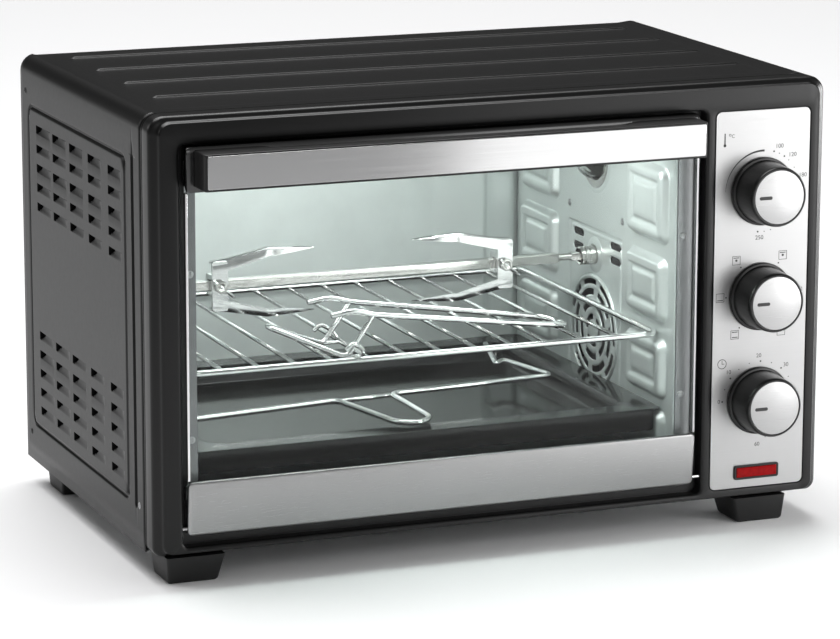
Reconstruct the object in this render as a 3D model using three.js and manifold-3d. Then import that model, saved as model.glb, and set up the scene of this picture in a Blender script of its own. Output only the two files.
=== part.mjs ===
// Countertop rotisserie oven, in millimetres, +Z up, front towards -Y.
// Inside this file every place is measured from the body's left side (x), from the bezel's
// front face backwards (y) and from the table (z). part() moves each piece to the shared
// frame, whose origin is the centre of the base.
import * as THREE from 'three';
import { mergeVertices } from 'three/addons/utils/BufferGeometryUtils.js';
import Module from 'manifold-3d';

const wasm = await Module();
wasm.setup();

// ---- driving dimensions -------------------------------------------------------------
const BODY_W = 510;
const BODY_TOP = 325.5;
const BODY_BACK = 312;
const FOOT_H = 19;
const SHEET = 1;
const GAP = 0.3;
const CORNER_R = 12;
const WRAP_FRONT = 22;

// furthest points forward and backward, which centre the origin
const KNOB_FRONT = -27;
const GLAND_BACK = 317;
const MID_Y = (KNOB_FRONT + GLAND_BACK) / 2;

// door opening in the bezel, and the door inside it
const OPEN_X0 = 20.4;
const OPEN_X1 = 414;
const OPEN_Z0 = 25.4;
const OPEN_Z1 = 306;
const DOOR_X0 = 23.7;
const DOOR_X1 = 408;
const DOOR_Z0 = 33;
const DOOR_Z1 = 305;
const DOOR_FRONT = -3;
const HINGE_Y = 3.85;
const HINGE_Z = 38;
const PIN_R = 1.4;

// control panel
const PANEL_X0 = 421.6;
const PANEL_X1 = 496.1;
const PANEL_Z0 = 27.1;
const PANEL_Z1 = 304.4;
const KNOB_X = 459;
const KNOB_Z = { temperature: 245.5, function: 168.5, timer: 91.5 };
const SHAFT_R = 3;

// cooking cavity, inner faces
const CAV_X0 = 34.2;
const CAV_X1 = 397;
const CAV_Y0 = 11.5;
const CAV_Y1 = 298;
const CAV_Z0 = 45;
const CAV_Z1 = 300;
const BOSS_DEPTH = 6;
const BOSS_COLUMNS = [[23, 89], [216, 284]];
const BOSS_ROWS = [[49, 83.2], [90.5, 136], [147, 195.5], [205, 262]];

// spit, fan and lamp centres on the side walls
const MID_CAV_Y = 152;
const SPIT_Z = 175;
const SPIT_SIDE = 7;
const FAN_Z = 117;
const FAN_R = 36;
const LAMP_Z = 250;
const HEATER_Y = [100, 205];
const HEATER_R = 3.4;

// accessories
const RACK_R = 2.4;
const RACK_Z = BOSS_ROWS[1][1] + GAP + RACK_R;
const RACK_WIRE_R = 1.5;
const RACK_PITCH = 27.4;
const TRAY_RIM_Z = BOSS_ROWS[0][1] + GAP;
const TOOL_R = 2.2;

// ---- solids -------------------------------------------------------------------------
function solidFrom(positions, indices) {
  const mesh = new wasm.Mesh({
    numProp: 3,
    vertProperties: new Float32Array(positions),
    triVerts: new Uint32Array(indices),
  });
  mesh.merge();
  return new wasm.Manifold(mesh);
}

function solid(geometry) {
  const bare = geometry.clone();
  bare.deleteAttribute('normal');
  bare.deleteAttribute('uv');
  const merged = mergeVertices(bare, 1e-4);
  const index = merged.index.array;
  const kept = [];
  for (let i = 0; i < index.length; i += 3) {
    const [a, b, c] = [index[i], index[i + 1], index[i + 2]];
    if (a !== b && b !== c && a !== c) kept.push(a, b, c);
  }
  return solidFrom(merged.attributes.position.array, kept);
}

function box(x0, x1, y0, y1, z0, z1) {
  const geometry = new THREE.BoxGeometry(x1 - x0, y1 - y0, z1 - z0);
  geometry.translate((x0 + x1) / 2, (y0 + y1) / 2, (z0 + z1) / 2);
  return solid(geometry);
}

const X = new THREE.Vector3(1, 0, 0);
const Y = new THREE.Vector3(0, 1, 0);
const Z = new THREE.Vector3(0, 0, 1);

function shapeOf(outline, holes = []) {
  const shape = new THREE.Shape(outline.map(([u, v]) => new THREE.Vector2(u, v)));
  for (const hole of holes) {
    shape.holes.push(new THREE.Path(hole.map(([u, v]) => new THREE.Vector2(u, v))));
  }
  return shape;
}

// outline in (y, z), pushed along x
function prismX(outline, x0, x1, holes) {
  const geometry = new THREE.ExtrudeGeometry(shapeOf(outline, holes), { depth: x1 - x0, bevelEnabled: false });
  geometry.applyMatrix4(new THREE.Matrix4().makeBasis(Y, Z, X));
  geometry.translate(x0, 0, 0);
  return solid(geometry);
}

// outline in (x, z), pushed along y
function prismY(outline, y0, y1, holes) {
  const geometry = new THREE.ExtrudeGeometry(shapeOf(outline, holes), { depth: y1 - y0, bevelEnabled: false });
  geometry.applyMatrix4(new THREE.Matrix4().makeBasis(X, Z, Y.clone().negate()));
  geometry.translate(0, y1, 0);
  return solid(geometry);
}

// outline in (x, y), pushed along z
function prismZ(outline, z0, z1, holes) {
  const geometry = new THREE.ExtrudeGeometry(shapeOf(outline, holes), { depth: z1 - z0, bevelEnabled: false });
  geometry.translate(0, 0, z0);
  return solid(geometry);
}

// profile of (radius, distance) pairs turned about the x or y axis through a centre
function turned(profile, axis, centre, segments = 32) {
  const geometry = new THREE.LatheGeometry(profile.map(([r, h]) => new THREE.Vector2(r, h)), segments);
  if (axis === 'x') geometry.rotateZ(-Math.PI / 2);
  geometry.translate(...centre);
  const made = solid(geometry);
  return made.volume() < 0 ? flipped(geometry) : made;
}

function flipped(geometry) {
  const index = geometry.index.array;
  for (let i = 0; i < index.length; i += 3) {
    const keep = index[i];
    index[i] = index[i + 1];
    index[i + 1] = keep;
  }
  return solid(geometry);
}

function rodX(r, x0, x1, y, z, segments = 24) {
  return turned([[0, x0], [r, x0], [r, x1], [0, x1]], 'x', [0, y, z], segments);
}

function rodY(r, y0, y1, x, z, segments = 24) {
  return turned([[0, y0], [r, y0], [r, y1], [0, y1]], 'y', [x, 0, z], segments);
}

// points round a rectangle with one radius per corner: low-low, high-low, high-high, low-high
function roundedRect(u0, u1, v0, v1, radii, steps = 5) {
  const corners = [
    [u0, v0, 1, 1, Math.PI],
    [u1, v0, -1, 1, 1.5 * Math.PI],
    [u1, v1, -1, -1, 0],
    [u0, v1, 1, -1, 0.5 * Math.PI],
  ];
  const points = [];
  corners.forEach(([u, v, su, sv, start], corner) => {
    const r = Array.isArray(radii) ? radii[corner] : radii;
    for (let i = 0; i <= steps; i += 1) {
      const a = start + (i / steps) * (Math.PI / 2);
      points.push([u + su * r + r * Math.cos(a), v + sv * r + r * Math.sin(a)]);
    }
  });
  return points;
}

// skin over a stack of convex rings that all have the same number of points
function loft(rings) {
  const n = rings[0].length;
  const positions = rings.flat(2);
  const indices = [];
  for (let k = 0; k + 1 < rings.length; k += 1) {
    for (let i = 0; i < n; i += 1) {
      const a = k * n + i;
      const b = k * n + (i + 1) % n;
      indices.push(a, b, b + n, a, b + n, a + n);
    }
  }
  const last = (rings.length - 1) * n;
  for (let i = 1; i + 1 < n; i += 1) {
    indices.push(0, i + 1, i, last, last + i, last + i + 1);
  }
  const made = solidFrom(positions, indices);
  if (made.volume() > 0) return made;
  return solidFrom(positions, indices.reverse());
}

// round wire along points, its corners bent to a radius
function wire(points, r, bend = 6, sides = 8, closed = false) {
  const raw = points.map((p) => new THREE.Vector3(...p));
  const path = [];
  const count = raw.length;
  raw.forEach((p, i) => {
    if (!closed && (i === 0 || i === count - 1)) {
      path.push(p);
      return;
    }
    const before = raw[(i + count - 1) % count];
    const after = raw[(i + 1) % count];
    const reach = Math.min(bend, before.distanceTo(p) * 0.45, after.distanceTo(p) * 0.45);
    const from = p.clone().add(before.clone().sub(p).setLength(reach));
    const to = p.clone().add(after.clone().sub(p).setLength(reach));
    const curve = new THREE.QuadraticBezierCurve3(from, p, to);
    path.push(...curve.getPoints(3));
  });
  const total = path.length;
  let side = new THREE.Vector3();
  const positions = [];
  path.forEach((p, i) => {
    const before = closed ? path[(i + total - 1) % total] : path[Math.max(i - 1, 0)];
    const after = closed ? path[(i + 1) % total] : path[Math.min(i + 1, total - 1)];
    const along = after.clone().sub(before).normalize();
    if (i === 0) side = Math.abs(along.z) < 0.9 ? Z.clone() : X.clone();
    side = side.sub(along.clone().multiplyScalar(side.dot(along))).normalize();
    const other = along.clone().cross(side);
    for (let k = 0; k < sides; k += 1) {
      const a = (k / sides) * 2 * Math.PI;
      const q = p.clone().addScaledVector(side, r * Math.cos(a)).addScaledVector(other, r * Math.sin(a));
      positions.push(q.x, q.y, q.z);
    }
  });
  const indices = [];
  const joins = closed ? total : total - 1;
  for (let i = 0; i < joins; i += 1) {
    for (let k = 0; k < sides; k += 1) {
      const a = i * sides + k;
      const b = i * sides + (k + 1) % sides;
      const c = ((i + 1) % total) * sides + (k + 1) % sides;
      const d = ((i + 1) % total) * sides + k;
      indices.push(a, b, c, a, c, d);
    }
  }
  if (!closed) {
    const last = (total - 1) * sides;
    for (let k = 1; k + 1 < sides; k += 1) indices.push(0, k + 1, k, last, last + k, last + k + 1);
  }
  const made = solidFrom(positions, indices);
  return made.volume() > 0 ? made : solidFrom(positions, indices.reverse());
}

function joined(solids) {
  return solids.reduce((sum, next) => sum.add(next));
}

// ---- materials and the group --------------------------------------------------------
const MATERIALS = {
  black_paint: [0x1d1d1f, 0.45, 0.3],
  steel: [0xc9cacc, 0.3, 1],
  galvanised: [0xa9b1ad, 0.4, 0.9],
  chrome: [0xe3e4e6, 0.12, 1],
  black_plastic: [0x161617, 0.5, 0],
  enamel: [0x121214, 0.2, 0.1],
  glass: [0xc6d6d0, 0.05, 0],
  red_lens: [0xc3121c, 0.2, 0],
  motor: [0x8d9094, 0.4, 0.8],
  ceramic: [0xe9e4d8, 0.6, 0],
};

const oven = new THREE.Group();
oven.name = 'rotisserie_oven';

function part(name, made, finish) {
  const mesh = made.getMesh();
  const geometry = new THREE.BufferGeometry();
  geometry.setAttribute('position', new THREE.BufferAttribute(new Float32Array(mesh.vertProperties), 3));
  geometry.setIndex(new THREE.BufferAttribute(new Uint32Array(mesh.triVerts), 1));
  geometry.translate(-BODY_W / 2, -MID_Y, 0);
  geometry.computeVertexNormals();
  const [color, roughness, metalness] = MATERIALS[finish];
  const node = new THREE.Mesh(geometry, new THREE.MeshStandardMaterial({ color, roughness, metalness }));
  node.name = name;
  oven.add(node);
}

// ---- outer case ---------------------------------------------------------------------
function wrapOutline(inset) {
  const low = FOOT_H;
  const arch = roundedRect(inset, BODY_W - inset, low, BODY_TOP - inset, [0, 0, CORNER_R - inset, CORNER_R - inset]);
  return arch;
}

function outerWrap() {
  const outer = prismY(wrapOutline(0), WRAP_FRONT, BODY_BACK);
  const inner = prismY(wrapOutline(SHEET).map(([u, v]) => [u, v === FOOT_H ? FOOT_H - 5 : v]), WRAP_FRONT - 1, BODY_BACK + 1);
  const louvreBlocks = [278.5, 123.5];
  const slots = [];
  for (const blockTop of louvreBlocks) {
    for (let column = 0; column < 5; column += 1) {
      for (let row = 0; row < 5; row += 1) {
        const y = 62 + column * 43.6;
        const top = blockTop - row * 14.4;
        slots.push(box(-5, BODY_W + 5, y, y + 33, top - 3, top));
      }
    }
  }
  return outer.subtract(inner).subtract(joined(slots));
}
part('outer_wrap', outerWrap(), 'black_paint');
part('bottom_plate', box(SHEET + GAP, BODY_W - SHEET - GAP, WRAP_FRONT, BODY_BACK - 2.5, FOOT_H, FOOT_H + SHEET), 'galvanised');

const GLAND_X = 452;
const GLAND_Z = 62;
function rearCover() {
  const z0 = FOOT_H + SHEET + GAP;
  const inset = SHEET + GAP;
  const outline = roundedRect(inset, BODY_W - inset, z0, BODY_TOP - inset, [0, 0, CORNER_R - inset, CORNER_R - inset]);
  const slots = [];
  for (let i = 0; i < 8; i += 1) slots.push(box(120 + i * 14, 124 + i * 14, 300, 320, 215, 265));
  return prismY(outline, BODY_BACK - 2.2, BODY_BACK - 1.2).subtract(joined(slots)).subtract(rodY(8, 300, 320, GLAND_X, GLAND_Z));
}
part('rear_cover', rearCover(), 'galvanised');
const glandFlange = [[3.6, 306], [7.7, 306], [7.7, BODY_BACK - 0.9], [11, BODY_BACK - 0.9], [10, GLAND_BACK], [3.6, GLAND_BACK], [3.6, 306]];
part('cord_gland', turned(glandFlange, 'y', [GLAND_X, 0, GLAND_Z], 24), 'black_plastic');

// ---- front bezel: a stepped frame with the door opening and the panel recess -----------
// each step is its distance back, its inset at the sides, its inset at the top, its corner radius
const BEZEL_STEPS = [
  [WRAP_FRONT - GAP, 0, 0, 12],
  [8, 0, 0, 12],
  [4.6, 1.2, 0.9, 11.5],
  [2.4, 5.4, 3.5, 9.5],
  [0.8, 6.2, 4.3, 9],
  [0, 6.9, 4.8, 8],
];
function frontBezel() {
  const rings = BEZEL_STEPS.map(([y, side, top, r]) => {
    const outline = roundedRect(side, BODY_W - side, FOOT_H, BODY_TOP - top, [7, 7, r, r]);
    return outline.map(([x, z]) => [x, y, z]);
  });
  const body = loft(rings);
  const shallow = box(9.8, BODY_W - 9.8, 3.2, WRAP_FRONT + 1, FOOT_H + 3, BODY_TOP - 8.5);
  const deep = prismY(roundedRect(3, BODY_W - 3, FOOT_H + 3, BODY_TOP - 3, 8), 8.6, WRAP_FRONT + 1);
  const lipWall = 2;
  const lip = prismY(roundedRect(OPEN_X0 - lipWall, OPEN_X1 + lipWall, OPEN_Z0 - lipWall, OPEN_Z1 + lipWall, 5), 3, 9.9);
  const opening = prismY(roundedRect(OPEN_X0, OPEN_X1, OPEN_Z0, OPEN_Z1, [4, 4, 4, 4]), -2, WRAP_FRONT + 2);
  const panelWindow = prismY(roundedRect(PANEL_X0 + 3, PANEL_X1 - 3, PANEL_Z0 + 3, PANEL_Z1 - 3, 3), -2, 20);
  const clear = 0.6;
  const recess = prismY(roundedRect(PANEL_X0 - clear, PANEL_X1 + clear, PANEL_Z0 - clear, PANEL_Z1 + clear, 4.5), -2, 1.8);
  const pinHoles = rodX(PIN_R + 0.2, OPEN_X0 - 5, OPEN_X1 + 4.5, HINGE_Y, HINGE_Z);
  return body.subtract(shallow).subtract(deep).add(lip).subtract(opening).subtract(panelWindow).subtract(recess)
    .subtract(pinHoles);
}
part('front_bezel', frontBezel(), 'black_paint');

// ---- cooking cavity ------------------------------------------------------------------
const frameHole = roundedRect(CAV_X0, CAV_X1, CAV_Z0, CAV_Z1, 4);
part('cavity_front_frame', prismY(roundedRect(6, 417.5, 24, 319, 4), CAV_Y0 - 1.3, CAV_Y0 - GAP, [frameHole]), 'galvanised');
part('cavity_floor', box(CAV_X0 - SHEET, CAV_X1 + SHEET, CAV_Y0, CAV_Y1 + SHEET, CAV_Z0 - SHEET, CAV_Z0), 'galvanised');
part('cavity_ceiling', box(CAV_X0 - SHEET, CAV_X1 + SHEET, CAV_Y0, CAV_Y1 + SHEET, CAV_Z1, CAV_Z1 + SHEET), 'galvanised');
part('cavity_back_wall', box(CAV_X0 + GAP, CAV_X1 - GAP, CAV_Y1, CAV_Y1 + SHEET, CAV_Z0 + GAP, CAV_Z1 - GAP), 'galvanised');

// sheet wall whose bosses stand into the cavity and are hollow behind; inward is +1 or -1 along x
function sideWall(face, inward) {
  const back = face - inward * SHEET;
  const lowX = Math.min(face, back);
  let wall = box(lowX, lowX + SHEET, CAV_Y0, CAV_Y1 - GAP, CAV_Z0 + GAP, CAV_Z1 - GAP);
  for (const [y0, y1] of BOSS_COLUMNS) {
    for (const [z0, z1] of BOSS_ROWS) {
      const tip = face + inward * BOSS_DEPTH;
      const hollowTip = tip - inward * SHEET;
      wall = wall.add(box(Math.min(back, tip), Math.max(back, tip), y0, y1, z0, z1));
      const far = back - inward;
      wall = wall.subtract(
        box(Math.min(far, hollowTip), Math.max(far, hollowTip), y0 + SHEET, y1 - SHEET, z0 + SHEET, z1 - SHEET));
    }
  }
  return wall;
}

function arcSlot(r0, r1, from, to, y, z) {
  const points = [];
  const steps = 4;
  for (let i = 0; i <= steps; i += 1) {
    const a = from + ((to - from) * i) / steps;
    points.push([y + r1 * Math.cos(a), z + r1 * Math.sin(a)]);
  }
  for (let i = steps; i >= 0; i -= 1) {
    const a = from + ((to - from) * i) / steps;
    points.push([y + r0 * Math.cos(a), z + r0 * Math.sin(a)]);
  }
  return prismX(points, CAV_X1 - 4, CAV_X1 + 4);
}

function rightWall() {
  let wall = sideWall(CAV_X1, -1);
  const grille = [[9, 12.5, 3], [19, 22.5, 4], [28, 31.5, 5], [36, 39.5, 6]];
  for (const [r0, r1, count] of grille) {
    for (let i = 0; i < count; i += 1) {
      const from = (i / count) * 2 * Math.PI + r0 * 0.1;
      wall = wall.subtract(arcSlot(r0, r1, from, from + (2 * Math.PI / count) * 0.72, MID_CAV_Y, FAN_Z));
    }
  }
  for (const y of [MID_CAV_Y - 35, MID_CAV_Y + 30]) {
    for (const z of [188, 177]) wall = wall.subtract(box(CAV_X1 - 4, CAV_X1 + 4, y - 9, y + 9, z - 2.5, z + 2.5));
  }
  for (const y of HEATER_Y) {
    for (const z of [CAV_Z0 + 10, CAV_Z1 - 12]) wall = wall.subtract(rodX(HEATER_R + 0.6, CAV_X1 - 4, CAV_X1 + 4, y, z, 16));
  }
  wall = wall.subtract(rodX(7.6, CAV_X1 - 4, CAV_X1 + 4, MID_CAV_Y, SPIT_Z));
  return wall.subtract(rodX(20, CAV_X1 - 4, CAV_X1 + 4, MID_CAV_Y, LAMP_Z));
}
part('cavity_left_wall', sideWall(CAV_X0, 1), 'galvanised');
part('cavity_right_wall', rightWall(), 'galvanised');

// upper and lower tube heaters, one bend each, their tails through the right wall
function heater(z) {
  const [y0, y1] = HEATER_Y;
  return wire([[412, y0, z], [62, y0, z], [62, y1, z], [412, y1, z]], HEATER_R, 18, 8);
}
part('heater_lower', heater(CAV_Z0 + 10), 'motor');
part('heater_upper', heater(CAV_Z1 - 12), 'motor');

// oven lamp: flanged holder in the wall and a domed glass
const holderProfile = [[17.6, -1.5], [24, -1.5], [24, -GAP], [19.5, -GAP], [19.5, 30], [17.6, 30], [17.6, -1.5]];
part('lamp_holder', turned(holderProfile, 'x', [CAV_X1, MID_CAV_Y, LAMP_Z]), 'ceramic');
const domeProfile = [
  [0, -15], [8, -14], [14, -10.5], [17, -4], [17, 12], [15.5, 12], [15.5, -3.5], [12.8, -9.2], [7.4, -12.4], [0, -13.4],
];
part('lamp_glass', turned(domeProfile, 'x', [CAV_X1, MID_CAV_Y, LAMP_Z], 24), 'glass');

// ---- control panel -------------------------------------------------------------------
const LAMP_X0 = 442.6;
const LAMP_X1 = 474.4;
const LAMP_Z0 = 35;
const LAMP_Z1 = 42;
function controlFascia() {
  const plate = prismY(roundedRect(PANEL_X0, PANEL_X1, PANEL_Z0, PANEL_Z1, 4), 0.2, 1.4);
  const holes = Object.values(KNOB_Z).map((z) => rodY(4.5, -5, 5, KNOB_X, z));
  return plate.subtract(joined(holes)).subtract(box(LAMP_X0 - 1, LAMP_X1 + 1, -5, 5, LAMP_Z0 - 1, LAMP_Z1 + 1));
}
part('control_fascia', controlFascia(), 'steel');
const bracketHoles = Object.values(KNOB_Z).map((z) => rodY(4, 5, 20, KNOB_X, z));
part('control_bracket', box(421, 499, 12, 13, 24, 318).subtract(joined(bracketHoles))
  .subtract(box(LAMP_X0 - 1, LAMP_X1 + 1, 5, 20, LAMP_Z0 - 1, LAMP_Z1 + 1)), 'galvanised');

function controlBody(width, height, depth, z) {
  const body = box(KNOB_X - width / 2, KNOB_X + width / 2, 13.3, 13.3 + depth, z - height / 2, z + height / 2);
  return body.subtract(rodY(SHAFT_R + 0.3, 10, 26, KNOB_X, z));
}
part('thermostat_body', controlBody(34, 28, 24, KNOB_Z.temperature), 'ceramic');
part('selector_body', controlBody(38, 38, 22, KNOB_Z.function), 'black_plastic');
part('timer_body', controlBody(46, 46, 30, KNOB_Z.timer), 'steel');

// hollow black knob with a hub on the shaft, and a steel disc let into its face
const KNOB_BASE_R = 24.8;
const KNOB_TOP_R = 21.4;
function knob(z) {
  const face = KNOB_FRONT;
  const shell = [
    [SHAFT_R + 0.3, -1], [6.5, -1], [6.5, face + 4], [KNOB_TOP_R - 3, face + 4], [KNOB_BASE_R - 2.4, -0.6],
    [KNOB_BASE_R, -0.6], [KNOB_BASE_R - 0.6, -4], [KNOB_TOP_R, face], [KNOB_TOP_R - 1.6, face],
    [KNOB_TOP_R - 1.6, face + 1.2], [0, face + 1.2], [0, face + 5], [SHAFT_R + 0.3, face + 5], [SHAFT_R + 0.3, -1],
  ];
  return turned(shell, 'y', [KNOB_X, 0, z], 30);
}
for (const [name, z] of Object.entries(KNOB_Z)) {
  part(`knob_${name}`, knob(z), 'black_plastic');
  const capBack = KNOB_FRONT + 1.2 - GAP;
  part(`knob_cap_${name}`, rodY(KNOB_TOP_R - 1.9, KNOB_FRONT + 0.1, capBack, KNOB_X, z, 30), 'steel');
  part(`shaft_${name}`, rodY(SHAFT_R, KNOB_FRONT + 6, 25, KNOB_X, z, 16), 'steel');
}

// neon pilot lamp: frame in front of the fascia, lens through it
const lampHole = box(LAMP_X0 - GAP, LAMP_X1 + GAP, -5, 5, LAMP_Z0 - GAP, LAMP_Z1 + GAP);
const lampFlange = prismY(roundedRect(LAMP_X0 - 2, LAMP_X1 + 2, LAMP_Z0 - 1.8, LAMP_Z1 + 1.8, 1.6), -1.3, -0.1);
part('pilot_lamp_frame', lampFlange.subtract(lampHole), 'black_plastic');
part('pilot_lamp_lens', box(LAMP_X0, LAMP_X1, -1.9, 18, LAMP_Z0, LAMP_Z1), 'red_lens');

// ---- door ----------------------------------------------------------------------------
const GLASS_Y0 = -0.7;
const GLASS_Y1 = 3.3;
const topRail = [
  [DOOR_FRONT, 273.5], [DOOR_FRONT, 301.5], [DOOR_FRONT + 1.2, 304.2], [0.5, DOOR_Z1], [6.5, DOOR_Z1],
  [6.5, 277], [GLASS_Y1 + GAP, 277], [GLASS_Y1 + GAP, 296.3], [GLASS_Y0 - GAP, 296.3], [GLASS_Y0 - GAP, 273.5],
];
part('door_top_rail', prismX(topRail, DOOR_X0, DOOR_X1), 'steel');
const bottomRail = [
  [DOOR_FRONT, 72], [DOOR_FRONT, 56], [1.5, DOOR_Z0], [7, DOOR_Z0], [7, 68], [GLASS_Y1 + GAP, 68],
  [GLASS_Y1 + GAP, 51.7], [GLASS_Y0 - GAP, 51.7], [GLASS_Y0 - GAP, 72],
];
const bottomRailHollow = [[-0.6, 50.3], [2.3, 34.3], [6.2, 34.3], [6.2, 50.3]];
part('door_bottom_rail', prismX(bottomRail, DOOR_X0, DOOR_X1, [bottomRailHollow]), 'steel');
part('door_glass', box(DOOR_X0 + 0.6, DOOR_X1 - 0.6, GLASS_Y0, GLASS_Y1, 52, 296), 'glass');
const blockOutline = [[-0.2, 50], [2.55, 34.6], [5.9, 34.6], [5.9, 50]];
const blockLength = 22;
const hingeSides = [['left', DOOR_X0 + 0.4, 17], ['right', DOOR_X1 - 0.4 - blockLength, 400]];
for (const [side, x0, pinX0] of hingeSides) {
  const bore = rodX(PIN_R + 0.2, x0 - 1, x0 + blockLength + 1, HINGE_Y, HINGE_Z, 16);
  part(`hinge_block_${side}`, prismX(blockOutline, x0, x0 + blockLength).subtract(bore), 'motor');
  part(`hinge_pin_${side}`, rodX(PIN_R, pinX0, pinX0 + 17.5, HINGE_Y, HINGE_Z, 20), 'chrome');
}

// bar handle held off the door by a long foot at each end
const HANDLE_X0 = 29.5;
const HANDLE_X1 = 402.5;
const HANDLE_Z0 = 277.5;
const HANDLE_Z1 = 303;
const HANDLE_FRONT = -26;
const handlePlan = [
  [HANDLE_X0, DOOR_FRONT - GAP], [HANDLE_X0, HANDLE_FRONT + 1.5], [HANDLE_X0 + 1.5, HANDLE_FRONT],
  [HANDLE_X1 - 1.5, HANDLE_FRONT], [HANDLE_X1, HANDLE_FRONT + 1.5], [HANDLE_X1, DOOR_FRONT - GAP],
  [HANDLE_X1 - 48, DOOR_FRONT - GAP], [HANDLE_X1 - 56, -14], [HANDLE_X0 + 56, -14], [HANDLE_X0 + 48, DOOR_FRONT - GAP],
];
const fasciaRecess = box(HANDLE_X0 + 2, HANDLE_X1 - 2, HANDLE_FRONT - 5, HANDLE_FRONT + 0.6, HANDLE_Z0 + 1.6, HANDLE_Z1 - 1);
part('handle_bar', prismZ(handlePlan, HANDLE_Z0, HANDLE_Z1).subtract(fasciaRecess), 'black_plastic');
part('handle_fascia', box(HANDLE_X0 + 2.4, HANDLE_X1 - 2.4, HANDLE_FRONT - 0.5, HANDLE_FRONT + 0.3, HANDLE_Z0 + 2,
  HANDLE_Z1 - 1.4), 'steel');

// ---- feet ----------------------------------------------------------------------------
// outer x at the ground, direction inwards, front y at the ground, direction backwards
const FEET = {
  front_left: [9.7, 1, 2.6, 1],
  front_right: [482, -1, 2.6, 1],
  rear_left: [9.7, 1, 288, -1],
  rear_right: [482, -1, 288, -1],
};
function foot([x, inward, y, backward]) {
  const base = [[0, 0], [36.3, 0], [36.3, 33], [0, 33]];
  const top = [[-1.4, -2.4], [41, -2.4], [41, 37], [-1.4, 37]];
  const at = (points, z) => points.map(([u, v]) => [x + inward * u, y + backward * v, z]);
  return loft([at(base, 0), at(top, FOOT_H - GAP)]);
}
for (const [name, place] of Object.entries(FEET)) part(`foot_${name}`, foot(place), 'black_plastic');

// ---- rotisserie ----------------------------------------------------------------------
function squareX(side, x0, x1) {
  const h = side / 2;
  return box(x0, x1, MID_CAV_Y - h, MID_CAV_Y + h, SPIT_Z - h, SPIT_Z + h);
}
const SPIT_X0 = 34.8;
const SPIT_X1 = 391;
part('spit_rod', joined([
  rodX(3.4, SPIT_X0, 47, MID_CAV_Y, SPIT_Z),
  rodX(8, 46, 48.5, MID_CAV_Y, SPIT_Z),
  squareX(SPIT_SIDE, 48, 366),
  rodX(2.6, 365, 378, MID_CAV_Y, SPIT_Z, 16),
  squareX(6, 377, SPIT_X1),
]), 'chrome');

// open-topped seat for the spit's plain end
function spitSeat() {
  const journal = rodX(3.6, CAV_X0, CAV_X0 + 12, MID_CAV_Y, SPIT_Z);
  const slot = box(CAV_X0 - 1, CAV_X0 + 12, MID_CAV_Y - 3.6, MID_CAV_Y + 3.6, SPIT_Z, SPIT_Z + 20);
  const plate = box(CAV_X0 + GAP, CAV_X0 + 1.8, MID_CAV_Y - 16, MID_CAV_Y + 16, SPIT_Z - 16, SPIT_Z + 12);
  const shelf = box(CAV_X0 + GAP, CAV_X0 + 10, MID_CAV_Y - 8, MID_CAV_Y + 8, SPIT_Z - 10, SPIT_Z + 4);
  return plate.add(shelf).subtract(journal).subtract(slot);
}
part('spit_seat', spitSeat(), 'steel');

const socketBore = squareX(6.8, CAV_X1 - 15, CAV_X1 - 4);
part('drive_socket', rodX(7, CAV_X1 - 13.5, 413, MID_CAV_Y, SPIT_Z).subtract(socketBore), 'steel');

function postsX(r, x0, x1, ys, z) {
  return joined(ys.map((y) => rodX(r, x0, x1, y, z, 12)));
}
part('spit_motor', rodX(24, 413.5, 435, MID_CAV_Y, SPIT_Z, 32)
  .add(postsX(2.5, CAV_X1 + SHEET + GAP, 415, [MID_CAV_Y - 18, MID_CAV_Y + 18], SPIT_Z)), 'motor');

// fork: front strip with a collar round the spit, and two pointed prongs; side is +1 or -1 along x
const FORK_X = { left: 91.5, right: 326.5 };
const FORK_WIDTH = 12;
const FORK_FRONT = 144;
const SCREW_IN = 6;
function fork(x, side) {
  const at = (u) => x + side * u;
  const span = (u0, u1) => [Math.min(at(u0), at(u1)), Math.max(at(u0), at(u1))];
  const collar = box(...span(0, FORK_WIDTH), FORK_FRONT, MID_CAV_Y + 8, SPIT_Z - 8, SPIT_Z + 8);
  const strip = box(...span(0, FORK_WIDTH), FORK_FRONT, FORK_FRONT + 2.6, SPIT_Z - 18.4, SPIT_Z + 18.4);
  const prong = (up) => {
    const line = [[0, 18.5], [0, 11], [13, 10.2], [45, 19.2], [78.6, 22.9], [79.4, 23.5], [43, 26.1]];
    const outline = line.map(([u, v]) => [at(u), SPIT_Z + up * v]);
    return prismY(outline, FORK_FRONT, FORK_FRONT + 8);
  };
  const hole = squareX(SPIT_SIDE + 0.8, at(0) - 30, at(0) + 30);
  const thread = rodY(2.5, FORK_FRONT - 2, MID_CAV_Y, at(SCREW_IN), SPIT_Z, 16);
  const body = joined([collar, strip, prong(1), prong(-1)]);
  return body.subtract(hole).subtract(thread);
}
part('fork_left', fork(FORK_X.left, 1), 'chrome');
part('fork_right', fork(FORK_X.right, -1), 'chrome');

function thumbscrew(x) {
  const front = FORK_FRONT - 4.4;
  const shank = rodY(2.2, front + 1, MID_CAV_Y - SPIT_SIDE / 2 - GAP, x, SPIT_Z, 16);
  const head = rodY(4.6, front, FORK_FRONT - 0.8, x, SPIT_Z, 20);
  const lever = wire([[x - 4, front + 1.8, SPIT_Z + 3], [x + 9.5, front + 1.8, SPIT_Z - 8]], 1.1, 2, 8);
  return joined([shank, head, lever]);
}
part('thumbscrew_left', thumbscrew(FORK_X.left + SCREW_IN), 'chrome');
part('thumbscrew_right', thumbscrew(FORK_X.right - SCREW_IN), 'chrome');

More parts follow.
